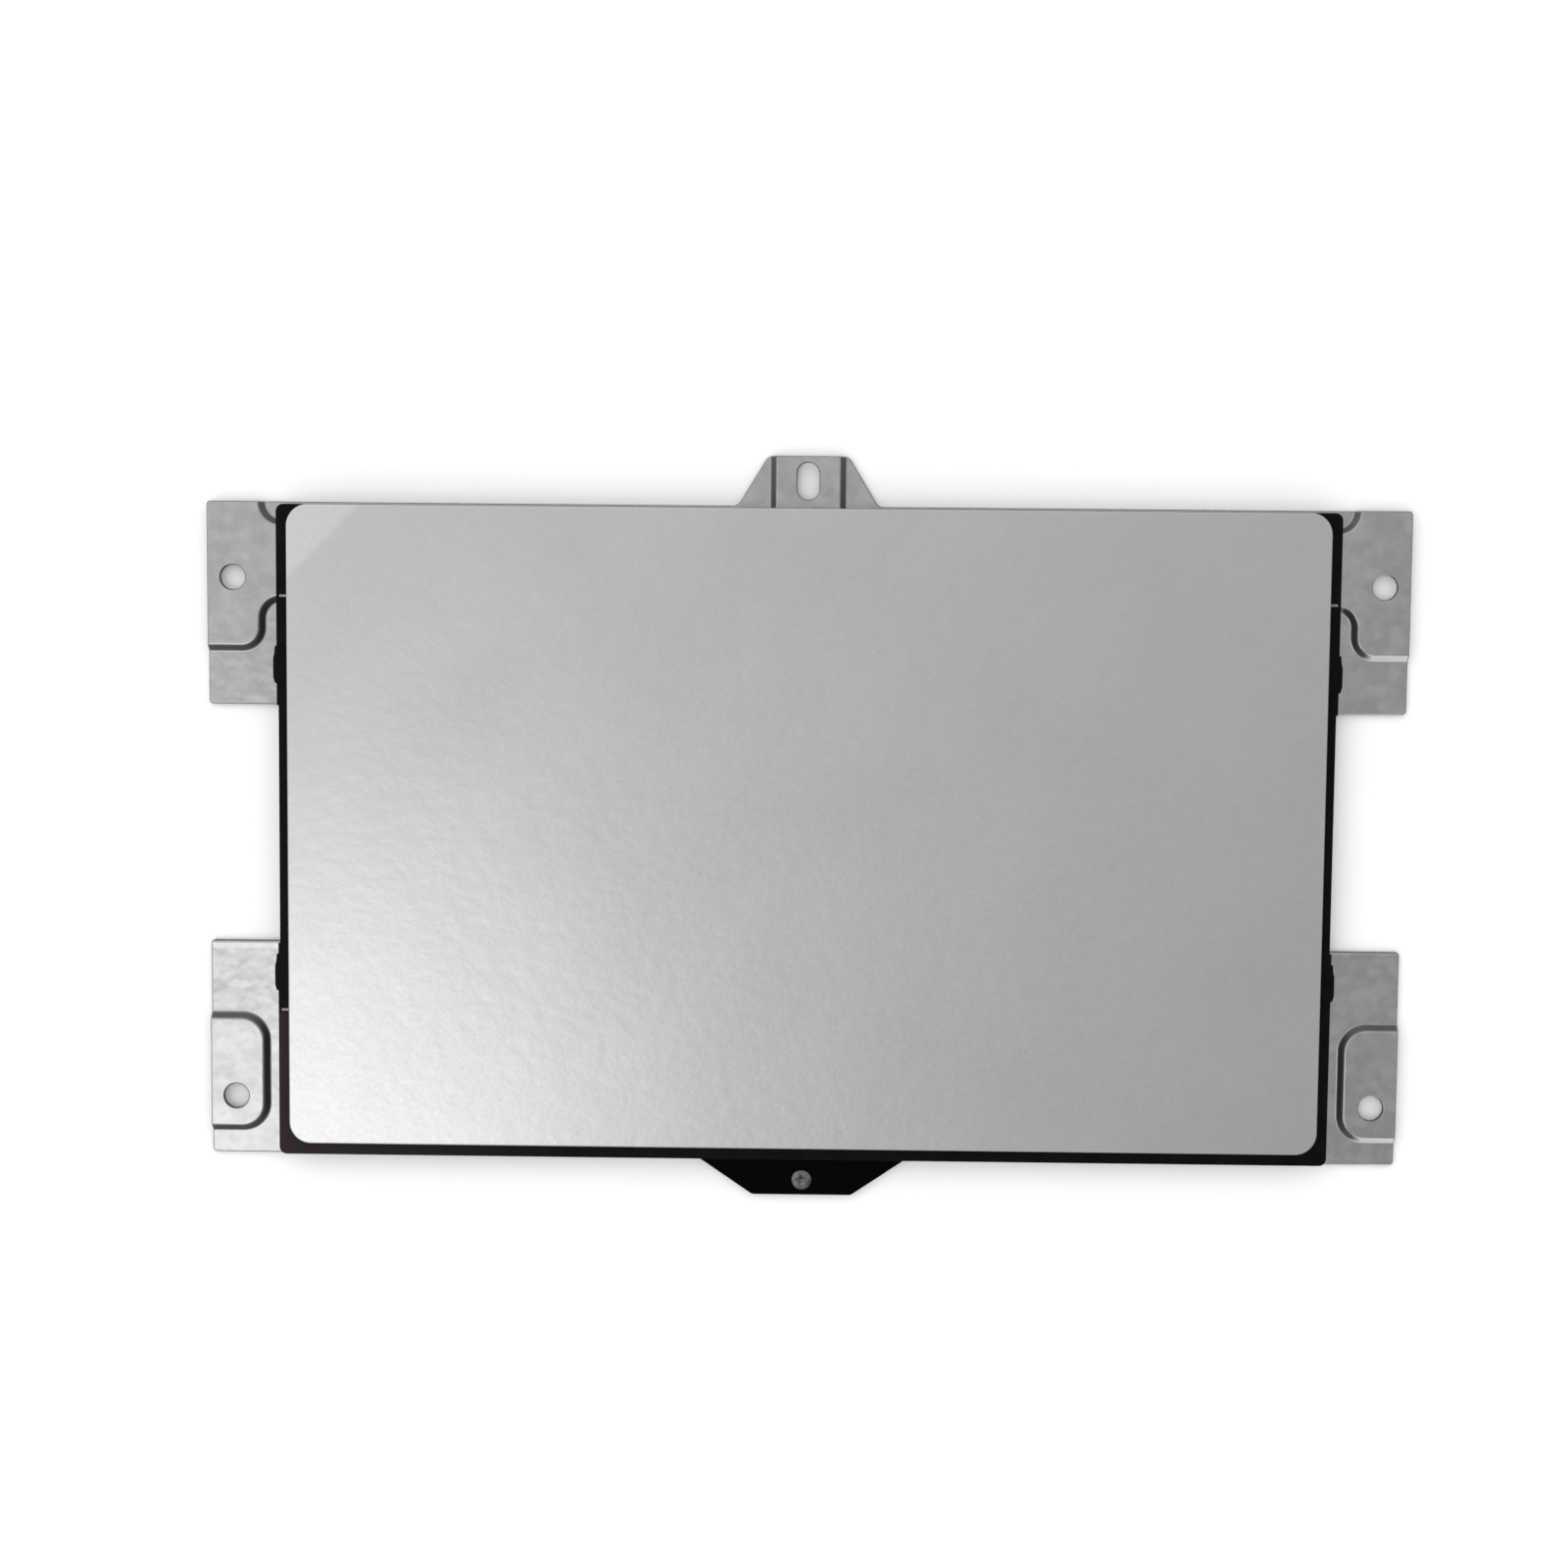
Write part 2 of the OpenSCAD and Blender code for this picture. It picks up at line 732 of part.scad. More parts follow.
module sensor_board() {
  color("#161617")
    slab(board_z, board_t)
      outline([
        [board_hw, board_front_y, board_r],
        [board_hw, -nub_front_y - nub_len / 2, 0],
        [board_hw + nub_out, -nub_front_y - nub_len / 2, 0],
        [board_hw + nub_out, -nub_front_y + nub_len / 2, 0],
        [board_hw, -nub_front_y + nub_len / 2, 0],
        [board_hw, -nub_front_y + nub_len / 2 + waist_front, 0],
        [board_hw - waist_in, -nub_front_y + nub_len / 2 + waist_front, 0],
        [board_hw - waist_in, nub_rear_y - nub_len / 2 - waist_rear, 0],
        [board_hw, nub_rear_y - nub_len / 2 - waist_rear, 0],
        [board_hw, nub_rear_y - nub_len / 2, 0],
        [board_hw + nub_out, nub_rear_y - nub_len / 2, 0],
        [board_hw + nub_out, nub_rear_y + nub_len / 2, 0],
        [board_hw, nub_rear_y + nub_len / 2, 0],
        [board_hw, board_rear_y, board_r]
      ]);
}

module cover_adhesive() {
  color("#d8d4c4")
    slab(board_top_z, cover_glue_t)
      rounded_rect(cover_w - 2 * glue_inset, cover_d - 2 * glue_inset, cover_r);
}

// Half section of the cover's rim, from the corner's middle outward
module rim_section() {
  polygon([
    [0, 0],
    [cover_r, 0],
    [cover_r, cover_t - cover_bevel],
    [cover_r - cover_bevel, cover_t],
    [0, cover_t]
  ]);
}

module cover_side(length) {
  rotate([90, 0, 90])
    linear_extrude(length, center = true)
      rim_section();
}

module touch_cover() {
  inner_w = cover_w - 2 * cover_r;
  inner_d = cover_d - 2 * cover_r;
  color("#c9cacb")
    translate([0, 0, cover_z]) {
      block(0, 0, 0, inner_w, inner_d, cover_t);
      for (turn = [0, 180])
        rotate(turn) {
          translate([0, inner_d / 2])
            cover_side(inner_w);
          rotate(90)
            translate([0, inner_w / 2])
              cover_side(inner_d);
          translate([inner_w / 2, inner_d / 2])
            rotate_extrude(angle = 90)
              rim_section();
          translate([-inner_w / 2, inner_d / 2])
            rotate(90)
              rotate_extrude(angle = 90)
                rim_section();
        }
    }
}

module touch_controller() {
  color("#202124")
    under_board(service_x, service_y + chip_y)
      difference() {
        block(0, 0, 0, chip_w, chip_w, chip_h);
        translate([-chip_w / 2 + mark_d, chip_w / 2 - mark_d, chip_h - mark_depth])
          cylinder(d = mark_d, h = past);
      }
}

// Small part with two plated ends, lying along X
module small_part(height) {
  block(0, 0, 0, small_len, small_w, height);
  both_x(small_len / 2 - small_end / 2)
    block(0, 0, 0, small_end, small_w + 2 * plating, height + plating);
}

module board_capacitors() {
  color("#a58a63")
    under_board(service_x, service_y + chip_y)
      for (i = [0 : cap_count - 1])
        translate([0, (i - (cap_count - 1) / 2) * cap_pitch])
          both_x(chip_w / 2 + small_gap + small_len / 2)
            small_part(cap_h);
}

module board_resistors() {
  color("#2c2d31")
    under_board(service_x, service_y + chip_y - chip_w / 2 - small_gap - small_len / 2)
      for (i = [0 : res_count - 1])
        translate([(i - (res_count - 1) / 2) * res_pitch, 0])
          rotate(90)
            small_part(res_h);
}

module at_connector() {
  under_board(-service_x, service_y + conn_y)
    children();
}

module at_contacts() {
  for (i = [0 : contact_count - 1])
    translate([(i - (contact_count - 1) / 2) * contact_pitch, 0])
      children();
}

// Box from the connector's front face back to a depth
module from_front(w, depth, z, h) {
  translate([-w / 2, -conn_d / 2 - past, z])
    cube([w, depth + past, h]);
}

module latch_pins(d, length) {
  translate([-latch_w / 2 - length, latch_back, latch_axis])
    rotate([0, 90, 0])
      cylinder(d = d, h = latch_w + 2 * length);
}

module cable_connector() {
  color("#e4ddc8")
    at_connector()
      difference() {
        block(0, 0, 0, conn_w, conn_d, conn_h);
        from_front(cable_w, cable_depth, conn_floor, cable_h);
        from_front(bay_w, bay_depth, conn_floor + cable_h, conn_h);
        latch_pins(latch_pin_d + 2 * latch_gap, latch_pin_len + latch_gap);
        at_contacts()
          block(0, 0, conn_floor, contact_w + 2 * fit_gap, conn_d + past, contact_t + fit_gap);
      }
}

// Contact finger, riser and solder foot in one strip
module connector_contacts() {
  rear_y = conn_d / 2;
  color("#c8a24a")
    at_connector()
      at_contacts() {
        translate([-contact_w / 2, rear_y - finger_len, conn_floor])
          cube([contact_w, finger_len + contact_t, contact_t]);
        translate([-contact_w / 2, rear_y, 0])
          cube([contact_w, contact_t, conn_floor + contact_t]);
        translate([-contact_w / 2, rear_y, 0])
          cube([contact_w, foot_out, contact_t]);
      }
}

module connector_anchors() {
  color("#bfc1c2")
    at_connector()
      for (side = [0, 1])
        mirror([side, 0])
          translate([conn_w / 2, -anchor_len / 2, 0]) {
            cube([anchor_w, anchor_len, anchor_t]);
            cube([anchor_t, anchor_len, anchor_h]);
          }
}

// Flip bar that presses the cable on the contacts and swings on two pins
module connector_latch() {
  color("#5b4636")
    at_connector() {
      translate([-latch_w / 2, latch_front, latch_z])
        cube([latch_w, latch_len, latch_t]);
      latch_pins(latch_t, 0);
      latch_pins(latch_pin_d, latch_pin_len);
    }
}

module at_switch() {
  under_board(0, switch_y)
    children();
}

module switch_base() {
  color("#2a2522")
    at_switch()
      difference() {
        block(0, 0, 0, switch_w, switch_w, switch_h);
        translate([0, 0, switch_floor])
          cylinder(d = well_d, h = past);
      }
}

module switch_cover() {
  color("#c6c8c9")
    at_switch()
      difference() {
        union() {
          block(0, 0, switch_h, switch_w + 2 * switch_cover_t, switch_w, switch_cover_t);
          both_x(switch_w / 2 + switch_cover_t / 2)
            block(0, 0, switch_h - clip_h, switch_cover_t, clip_len, clip_h + switch_cover_t);
        }
        cylinder(d = stem_d + 2 * stem_gap, h = past);
      }
}

module switch_dome() {
  color("#d2d0c6")
    at_switch()
      intersection() {
        translate([0, 0, switch_floor + dome_h - dome_ball_r])
          difference() {
            sphere(dome_ball_r);
            sphere(dome_ball_r - dome_t);
          }
        translate([0, 0, switch_floor])
          cylinder(d = dome_d + past, h = past);
      }
}

module switch_terminals() {
  color("#bfc1c2")
    at_switch()
      for (end = [-1, 1])
        both_x(switch_w / 2 - terminal_w)
          block(0, end * (switch_w + terminal_len) / 2, 0, terminal_w, terminal_len, terminal_t);
}

module switch_plunger() {
  color("#e9e6de")
    at_switch() {
      translate([0, 0, flange_z]) {
        cylinder(d = flange_d, h = flange_t);
        cylinder(d = stem_d, h = stem_tip - flange_z);
      }
    }
}

mounting_bracket();
click_anvil();
anvil_screw();
anvil_rivets();
hinge_leaf_left();
hinge_leaf_right();
leaf_rivets();
front_bumpers();
touch_cover();
cover_adhesive();
sensor_board();
board_adhesive();
stiffener_plate();
pad_rivets();
touch_controller();
board_capacitors();
board_resistors();
cable_connector();
connector_contacts();
connector_anchors();
connector_latch();
switch_base();
switch_cover();
switch_dome();
switch_terminals();
switch_plunger();
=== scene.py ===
import json
import math

import bmesh
import bpy
import numpy as np
from mathutils import Matrix, Vector
from mathutils.geometry import delaunay_2d_cdt


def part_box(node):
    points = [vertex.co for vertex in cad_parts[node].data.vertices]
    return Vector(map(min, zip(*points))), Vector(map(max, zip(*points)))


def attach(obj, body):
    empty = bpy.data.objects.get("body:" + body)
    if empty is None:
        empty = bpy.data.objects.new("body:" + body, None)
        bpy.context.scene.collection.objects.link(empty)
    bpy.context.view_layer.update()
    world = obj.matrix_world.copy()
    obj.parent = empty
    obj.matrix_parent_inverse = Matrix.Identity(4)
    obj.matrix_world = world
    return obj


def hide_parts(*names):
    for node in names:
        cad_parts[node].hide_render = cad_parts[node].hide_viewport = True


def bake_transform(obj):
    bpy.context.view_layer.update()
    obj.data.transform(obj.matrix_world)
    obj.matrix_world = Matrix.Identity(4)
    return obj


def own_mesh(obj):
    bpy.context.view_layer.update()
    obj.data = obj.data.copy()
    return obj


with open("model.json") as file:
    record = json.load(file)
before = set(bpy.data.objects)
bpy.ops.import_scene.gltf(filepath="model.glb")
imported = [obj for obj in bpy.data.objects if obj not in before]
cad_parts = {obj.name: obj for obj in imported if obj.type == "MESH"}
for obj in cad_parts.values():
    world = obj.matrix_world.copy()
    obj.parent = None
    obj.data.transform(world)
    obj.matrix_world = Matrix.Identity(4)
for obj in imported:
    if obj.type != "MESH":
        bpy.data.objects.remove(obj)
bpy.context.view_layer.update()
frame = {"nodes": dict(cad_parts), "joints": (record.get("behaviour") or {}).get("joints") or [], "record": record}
record = frame["record"]
mm = 0.001
scene = bpy.context.scene
print("frame loaded:", len(frame["nodes"]), "nodes")


# Shapes are drawn in millimetres in the frame's own axes and scaled to metres at the end

def boxOf(node):
    low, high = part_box(node)
    return low / mm, high / mm


coverLow, coverHigh = boxOf("touch_cover")
boardLow, boardHigh = boxOf("sensor_board")
bracketLow, bracketHigh = boxOf("mounting_bracket")
anvilLow, anvilHigh = boxOf("click_anvil")
stiffLow, stiffHigh = boxOf("stiffener_plate")
leafLow, leafHigh = boxOf("hinge_leaf_right")
leafMiddle = (leafLow.x + leafHigh.x) / 2
hingeY = next(j["pos_m"][1] for j in frame["joints"] if j["name"] == "pad_click") / mm


def roundCorners(corners, steps=8):
    # each corner is x, y and a radius
    points = []
    for index, (x, y, radius) in enumerate(corners):
        here = Vector((x, y))
        if radius <= 0:
            points.append(here)
            continue
        back = (Vector(corners[index - 1][:2]) - here).normalized()
        onward = (Vector(corners[(index + 1) % len(corners)][:2]) - here).normalized()
        half = back.angle(onward) / 2
        middle = here + (back + onward).normalized() * (radius / math.sin(half))
        first = here + back * (radius / math.tan(half)) - middle
        last = here + onward * (radius / math.tan(half)) - middle
        start = math.atan2(first.y, first.x)
        turn = math.remainder(math.atan2(last.y, last.x) - start, math.tau)
        for step in range(steps + 1):
            angle = start + turn * step / steps
            points.append(middle + Vector((math.cos(angle), math.sin(angle))) * radius)
    return points


def bothSides(rightHalf):
    return rightHalf + [(-x, y, radius) for x, y, radius in reversed(rightHalf)]


def rectangle(x, y, width, depth, radius, steps=8):
    turns = ((1, -1), (1, 1), (-1, 1), (-1, -1))
    corners = [(x + sx * width / 2, y + sy * depth / 2, radius) for sx, sy in turns]
    return roundCorners(corners, steps)


def circle(x, y, radius, count=40):
    turns = [math.tau * i / count for i in range(count)]
    return [Vector((x + radius * math.cos(a), y + radius * math.sin(a))) for a in turns]


def asHole(loop):
    return list(reversed(loop))


def rowPlaces(middle, count, pitch):
    return [middle + (index - (count - 1) / 2) * pitch for index in range(count)]


def insideLoops(points, loops):
    inside = np.zeros(len(points), bool)
    for loop in loops:
        for a, b in zip(loop, loop[1:] + loop[:1]):
            if a.y == b.y:
                continue
            crossing = (a.y > points[:, 1]) != (b.y > points[:, 1])
            edgeX = a.x + (points[:, 1] - a.y) * (b.x - a.x) / (b.y - a.y)
            inside ^= crossing & (points[:, 0] < edgeX)
    return inside


def distanceTo(points, loops):
    # negative inside the loops
    nearest = np.full(len(points), 1e9)
    for loop in loops:
        for a, b in zip(loop, loop[1:] + loop[:1]):
            along = np.array(b - a)
            start = np.array(a)
            share = np.clip((points - start) @ along / (along @ along), 0, 1)
            gap = points - start - share[:, None] * along
            nearest = np.minimum(nearest, np.hypot(gap[:, 0], gap[:, 1]))
    return np.where(insideLoops(points, loops), -nearest, nearest)


def outwardNormals(loop):
    # for a loop with the material on its left, long enough at corners to keep the offset even
    normals = []
    for index, here in enumerate(loop):
        before = (here - loop[index - 1]).normalized()
        after = (loop[(index + 1) % len(loop)] - here).normalized()
        first = Vector((before.y, -before.x))
        second = Vector((after.y, -after.x))
        normals.append((first + second) / max(0.3, 1 + first.dot(second)))
    return normals


def roundRim(radius, steps=3):
    angles = [math.pi / 2 * i / steps for i in range(steps + 1)]
    return [(radius * math.sin(a), radius * (1 - math.cos(a))) for a in angles]


def level(height):
    return lambda points: np.full(len(points), height)


def finishMesh(mesh):
    mesh.transform(Matrix.Scale(mm, 4))
    mesh.shade_smooth()
    mesh.update()
    return mesh


def surfaceNormals(points, height, up):
    step = 0.01
    slopeX = (height(points + (step, 0)) - height(points - (step, 0))) / (2 * step)
    slopeY = (height(points + (0, step)) - height(points - (0, step))) / (2 * step)
    return [Vector((-x, -y, 1)).normalized() * up for x, y in zip(slopeX, slopeY)]


def rimNormals(rim):
    # outward and upward share of the normal at each point of a rim, which ends in an upright wall
    steps = [Vector((b[1] - a[1], b[0] - a[0])).normalized() for a, b in zip(rim, rim[1:])]
    steps.append(Vector((1, 0)))
    return [(a + b).normalized() for a, b in zip(steps, steps[1:])]


def sheetMesh(name, loops, top, bottom, rim, lines=()):
    # a plate with rounded rims: loops run with the material on their left, top and bottom give heights
    reach = rim[-1][0]
    cutLoops = [[p - n * reach for p, n in zip(loop, outwardNormals(loop))] for loop in loops]
    coords = []
    edges = []
    for loop in cutLoops:
        first = len(coords)
        coords += loop
        edges += [(first + i, first + (i + 1) % len(loop)) for i in range(len(loop))]
    for line in lines:
        first = len(coords)
        coords += line
        edges += [(first + i, first + i + 1) for i in range(len(line) - 1)]
    flatCoords, _, triangles, *_ = delaunay_2d_cdt(coords, edges, [], 0, 1e-5)
    flat = np.array([tuple(p) for p in flatCoords])
    centres = np.array([flat[list(t)].mean(0) for t in triangles])
    kept = [t for t, inside in zip(triangles, insideLoops(centres, cutLoops)) if inside]
    used = sorted({v for t in kept for v in t})
    place = {v: i for i, v in enumerate(used)}
    flat = flat[used]
    kept = [[place[v] for v in t] for t in kept]
    directed = {(t[i], t[(i + 1) % 3]) for t in kept for i in range(3)}
    border = {a: b for a, b in directed if (b, a) not in directed}

    verts = [(x, y, z) for (x, y), z in zip(flat, top(flat))]
    verts += [(x, y, z) for (x, y), z in zip(flat, bottom(flat))]
    normals = surfaceNormals(flat, top, 1) + surfaceNormals(flat, bottom, -1)
    count = len(flat)
    faces = [tuple(t) for t in kept] + [tuple(v + count for v in reversed(t)) for t in kept]
    overSteps = [(0, out, -drop, turn.x, turn.y) for (out, drop), turn in zip(rim[1:], rimNormals(rim))]
    underSteps = [(count, out, -shift, across, -up) for _, out, shift, across, up in reversed(overSteps)]
    while border:
        ring = [min(border)]
        follower = border.pop(ring[0])
        while follower != ring[0]:
            ring.append(follower)
            follower = border.pop(follower)
        outward = outwardNormals([Vector(flat[v]) for v in ring])
        rows = [ring]
        for first, out, shift, across, up in overSteps + underSteps:
            rows.append(range(len(verts), len(verts) + len(ring)))
            for v, n in zip(ring, outward):
                verts.append((*(flat[v] + np.array(n) * out), verts[v + first][2] + shift))
                normals.append(Vector((*(n.normalized() * across), up)))
        rows.append([v + count for v in ring])
        for upper, lower in zip(rows, rows[1:]):
            for i in range(len(ring)):
                j = (i + 1) % len(ring)
                faces.append((upper[j], upper[i], lower[i], lower[j]))
    mesh = bpy.data.meshes.new(name)
    mesh.from_pydata(verts, [], faces)
    finishMesh(mesh)
    mesh.normals_split_custom_set_from_vertices(normals)
    return mesh


def turnedMesh(name, profile, places, count=40):
    # profile is radius and height from the axis at the bottom to the axis at the top
    verts = []
    faces = []
    for x, y in places:
        rows = []
        for radius, height in profile:
            points = circle(x, y, radius, count) if radius > 0 else [Vector((x, y))]
            rows.append(range(len(verts), len(verts) + len(points)))
            verts += [(p.x, p.y, height) for p in points]
        for lower, upper in zip(rows, rows[1:]):
            for i in range(count):
                j = (i + 1) % count
                if len(lower) == 1:
                    faces.append((lower[0], upper[j], upper[i]))
                elif len(upper) == 1:
                    faces.append((lower[i], lower[j], upper[0]))
                else:
                    faces.append((lower[i], lower[j], upper[j], upper[i]))
    mesh = bpy.data.meshes.new(name)
    mesh.from_pydata(verts, [], faces)
    return finishMesh(mesh)


def blockMesh(name, blocks, edge):
    # blocks with rounded edges, each given by its lowest and highest corner
    shape = bmesh.new()
    for low, high in blocks:
        middle = (Vector(low) + Vector(high)) / 2
        size = Vector(high) - Vector(low)
        place = Matrix.Translation(middle) @ Matrix.Diagonal((*size, 1))
        made = bmesh.ops.create_cube(shape, size=1, matrix=place)
        sides = {e for v in made["verts"] for e in v.link_edges}
        bmesh.ops.bevel(shape, geom=list(sides), offset=edge, segments=2, affect="EDGES", profile=0.6)
    mesh = bpy.data.meshes.new(name)
    shape.to_mesh(mesh)
    shape.free()
    return finishMesh(mesh)


def addPiece(name, mesh, material, body=None, replaced=()):
    piece = bpy.data.objects.new(name, mesh)
    scene.collection.objects.link(piece)
    mesh.materials.append(material)
    if not mesh.has_custom_normals:
        piece.modifiers.new("evenShading", "WEIGHTED_NORMAL").weight = 60
    if body:
        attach(piece, body)
    if replaced:
        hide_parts(*replaced)
    return piece


def carve(piece, cutterMesh):
    cutter = bpy.data.objects.new("cutter", cutterMesh)
    scene.collection.objects.link(cutter)
    cut = piece.modifiers.new("carve", "BOOLEAN")
    cut.operation = "DIFFERENCE"
    cut.solver = "EXACT"
    cut.object = cutter
    bpy.context.view_layer.update()
    carved = bpy.data.meshes.new_from_object(piece.evaluated_get(bpy.context.evaluated_depsgraph_get()))
    piece.modifiers.remove(cut)
    piece.data = carved
    bpy.data.objects.remove(cutter)


# Finishes: node trees over the object's own coordinates, with feature sizes in millimetres

def addNode(tree, kind, inputs, **settings):
    node = tree.nodes.new(kind)
    for key, value in settings.items():
        setattr(node, key, value)
    for key, value in inputs.items():
        if isinstance(value, bpy.types.NodeSocket):
            tree.links.new(value, node.inputs[key])
        elif node.inputs[key].type == "RGBA":
            node.inputs[key].default_value = (*value[:3], 1)
        else:
            node.inputs[key].default_value = value
    return node


def startFinish(name):
    material = bpy.data.materials.new(name)
    material.use_nodes = True
    tree = material.node_tree
    shader = tree.nodes["Principled BSDF"]
    place = tree.nodes.new("ShaderNodeTexCoord").outputs["Object"]
    return material, tree, shader, place


def noiseOf(tree, place, size, detail=2.0, stretch=(1, 1, 1), distortion=0.0):
    mapped = addNode(tree, "ShaderNodeMapping", {"Vector": place, "Scale": stretch})
    inputs = {
        "Vector": mapped.outputs["Vector"],
        "Scale": 1 / (size * mm),
        "Detail": detail,
        "Distortion": distortion,
    }
    return addNode(tree, "ShaderNodeTexNoise", inputs).outputs["Fac"]


def spread(tree, value, fromLow, fromHigh, low, high):
    inputs = {"Value": value, "From Min": fromLow, "From Max": fromHigh, "To Min": low, "To Max": high}
    return addNode(tree, "ShaderNodeMapRange", inputs).outputs["Result"]


def spreadNoise(tree, noise, low, high):
    # nearly all of a noise field lies between these two values
    return spread(tree, noise, 0.3, 0.7, low, high)


def alongAxis(tree, vector, axis):
    return addNode(tree, "ShaderNodeSeparateXYZ", {"Vector": vector}).outputs[axis]


def mixColours(tree, share, first, second, blend="MIX"):
    node = addNode(tree, "ShaderNodeMix", {0: share, 6: first, 7: second}, data_type="RGBA", blend_type=blend)
    return node.outputs[2]


def calculate(tree, first, second, operation):
    return addNode(tree, "ShaderNodeMath", {0: first, 1: second}, operation=operation).outputs[0]


def product(tree, first, *others):
    for factor in others:
        first = calculate(tree, first, factor, "MULTIPLY")
    return first


def shadeBy(tree, tone, factor):
    grey = addNode(tree, "ShaderNodeCombineColor", {"Red": factor, "Green": factor, "Blue": factor})
    return mixColours(tree, 1.0, tone, grey.outputs["Color"], "MULTIPLY")


def roughen(tree, rough, share, least):
    return calculate(tree, rough, product(tree, share, least), "MAXIMUM")


def bumpOf(tree, height, depth, before=None):
    inputs = {"Height": height, "Distance": depth * mm, "Strength": 1.0}
    if before:
        inputs["Normal"] = before
    return addNode(tree, "ShaderNodeBump", inputs).outputs["Normal"]


def facingShare(tree, axis):
    return alongAxis(tree, tree.nodes.new("ShaderNodeNewGeometry").outputs["Normal"], axis)


def levelShare(tree):
    # 1 on level faces and 0 on upright ones
    return addNode(tree, "ShaderNodeMath", {0: facingShare(tree, "Z")}, operation="ABSOLUTE").outputs[0]


def plug(tree, shader, sockets):
    for name, socket in sockets.items():
        tree.links.new(socket, shader.inputs[name])


def grainedFinish(name, look):
    # two tones in soft patches, fine grain over them, roughness and bump from the same fields
    material, tree, shader, place = startFinish(name)
    stretch = look.get("stretch", (1, 1, 1))
    patches = noiseOf(tree, place, look["patch"], 3.0, stretch)
    grain = noiseOf(tree, place, look["grain"], 2.0, stretch)
    share = spreadNoise(tree, patches, 0.0, 1.0)
    tone = mixColours(tree, share, look["dark"], look["light"])
    tone = shadeBy(tree, tone, spreadNoise(tree, grain, 1 - look["speck"], 1 + look["speck"]))
    rough = spread(tree, calculate(tree, patches, grain, "ADD"), 0.6, 1.4, *look["rough"])
    relief = bumpOf(tree, grain, look["depth"])
    plug(tree, shader, {"Base Color": tone, "Roughness": rough, "Normal": relief})
    shader.inputs["Metallic"].default_value = look.get("metal", 0.0)
    shader.inputs["Specular IOR Level"].default_value = look.get("gloss", 0.5)
    shader.inputs["Specular Tint"].default_value = (*look.get("tint", (1, 1, 1)), 1)
    shader.inputs["Coat Weight"].default_value = look.get("coat", 0.0)
    shader.inputs["Coat Roughness"].default_value = look.get("coatRough", 0.2)
    return material


# Camera at the photograph's angle

photoCamera = {
    "lens": 50,
    "sensor": 36,
    "place": (0.0979, 21.377, 237.528),
    "turn": (-0.0690, 0.0109, 0.0096),
}

cameraData = bpy.data.cameras.new("photoCamera")
cameraData.lens = photoCamera["lens"]
cameraData.sensor_width = photoCamera["sensor"]
cameraData.clip_start = 0.01
camera = bpy.data.objects.new("photoCamera", cameraData)
camera.location = Vector(photoCamera["place"]) * mm
camera.rotation_euler = photoCamera["turn"]
scene.collection.objects.link(camera)
scene.camera = camera
print("camera set")


# Touch cover: satin silver plate with a softened bevel

touchCover = {
    "corner": 2.4,
    "rim": 0.2,
    "light": (0.455, 0.456, 0.458),
    "dark": (0.435, 0.436, 0.438),
    "patch": 14.0,
    "flake": 0.16,
    "flakeReach": 0.9,
    "flakeDepth": 0.0016,
    "sparkle": (1.022, 0.97),
    "grain": 0.5,
    "grainTone": 0.011,
    "grainDepth": 0.0022,
    "cloud": 1.5,
    "cloudStretch": (0.9, 1, 1),
    "cloudDepth": 0.018,
    "cloudTone": 0.010,
    "rough": (0.282, 0.318),
    "cutEdge": (0.20, 0.20, 0.202),
    "cutRough": 0.55,
    "cutSlope": (0.95, 0.75),
    "clearCorner": 8.6,
    "clearEdge": 1.2,
    "clearTone": 1.13,
}


def silverFinish(look):
    material, tree, shader, place = startFinish("satinSilver")
    patches = noiseOf(tree, place, look["patch"], 2.0)
    grain = noiseOf(tree, place, look["grain"], 3.0)
    cloud = noiseOf(tree, place, look["cloud"], 2.0, look["cloudStretch"])
    flakeInputs = {"Vector": place, "Scale": 1 / (look["flake"] * mm)}
    flake = addNode(tree, "ShaderNodeTexVoronoi", flakeInputs).outputs["Distance"]
    tone = mixColours(tree, spreadNoise(tree, patches, 0, 1), look["dark"], look["light"])
    tone = shadeBy(tree, tone, spread(tree, flake, 0.0, look["flakeReach"], *look["sparkle"]))
    tone = shadeBy(tree, tone, spreadNoise(tree, grain, 1 - look["grainTone"], 1 + look["grainTone"]))
    tone = shadeBy(tree, tone, spreadNoise(tree, cloud, 1 - look["cloudTone"], 1 + look["cloudTone"]))
    # the rear left corner is paler, where a clear film still holds
    fromCorner = calculate(tree, alongAxis(tree, place, "X"), alongAxis(tree, place, "Y"), "SUBTRACT")
    filmEnd = coverLow.x - coverHigh.y + look["clearCorner"]
    film = spread(tree, fromCorner, (filmEnd - look["clearEdge"]) * mm, filmEnd * mm, look["clearTone"], 1.0)
    tone = shadeBy(tree, tone, film)
    # the sheet's cut edge is darker and duller than its face
    cut = spread(tree, levelShare(tree), *look["cutSlope"], 0, 1)
    tone = mixColours(tree, cut, tone, look["cutEdge"])
    rough = roughen(tree, spreadNoise(tree, grain, *look["rough"]), cut, look["cutRough"])
    relief = bumpOf(tree, flake, look["flakeDepth"])
    relief = bumpOf(tree, grain, look["grainDepth"], relief)
    relief = bumpOf(tree, cloud, look["cloudDepth"], relief)
    plug(tree, shader, {"Base Color": tone, "Roughness": rough, "Normal": relief})
    shader.inputs["Metallic"].default_value = 1.0
    return material


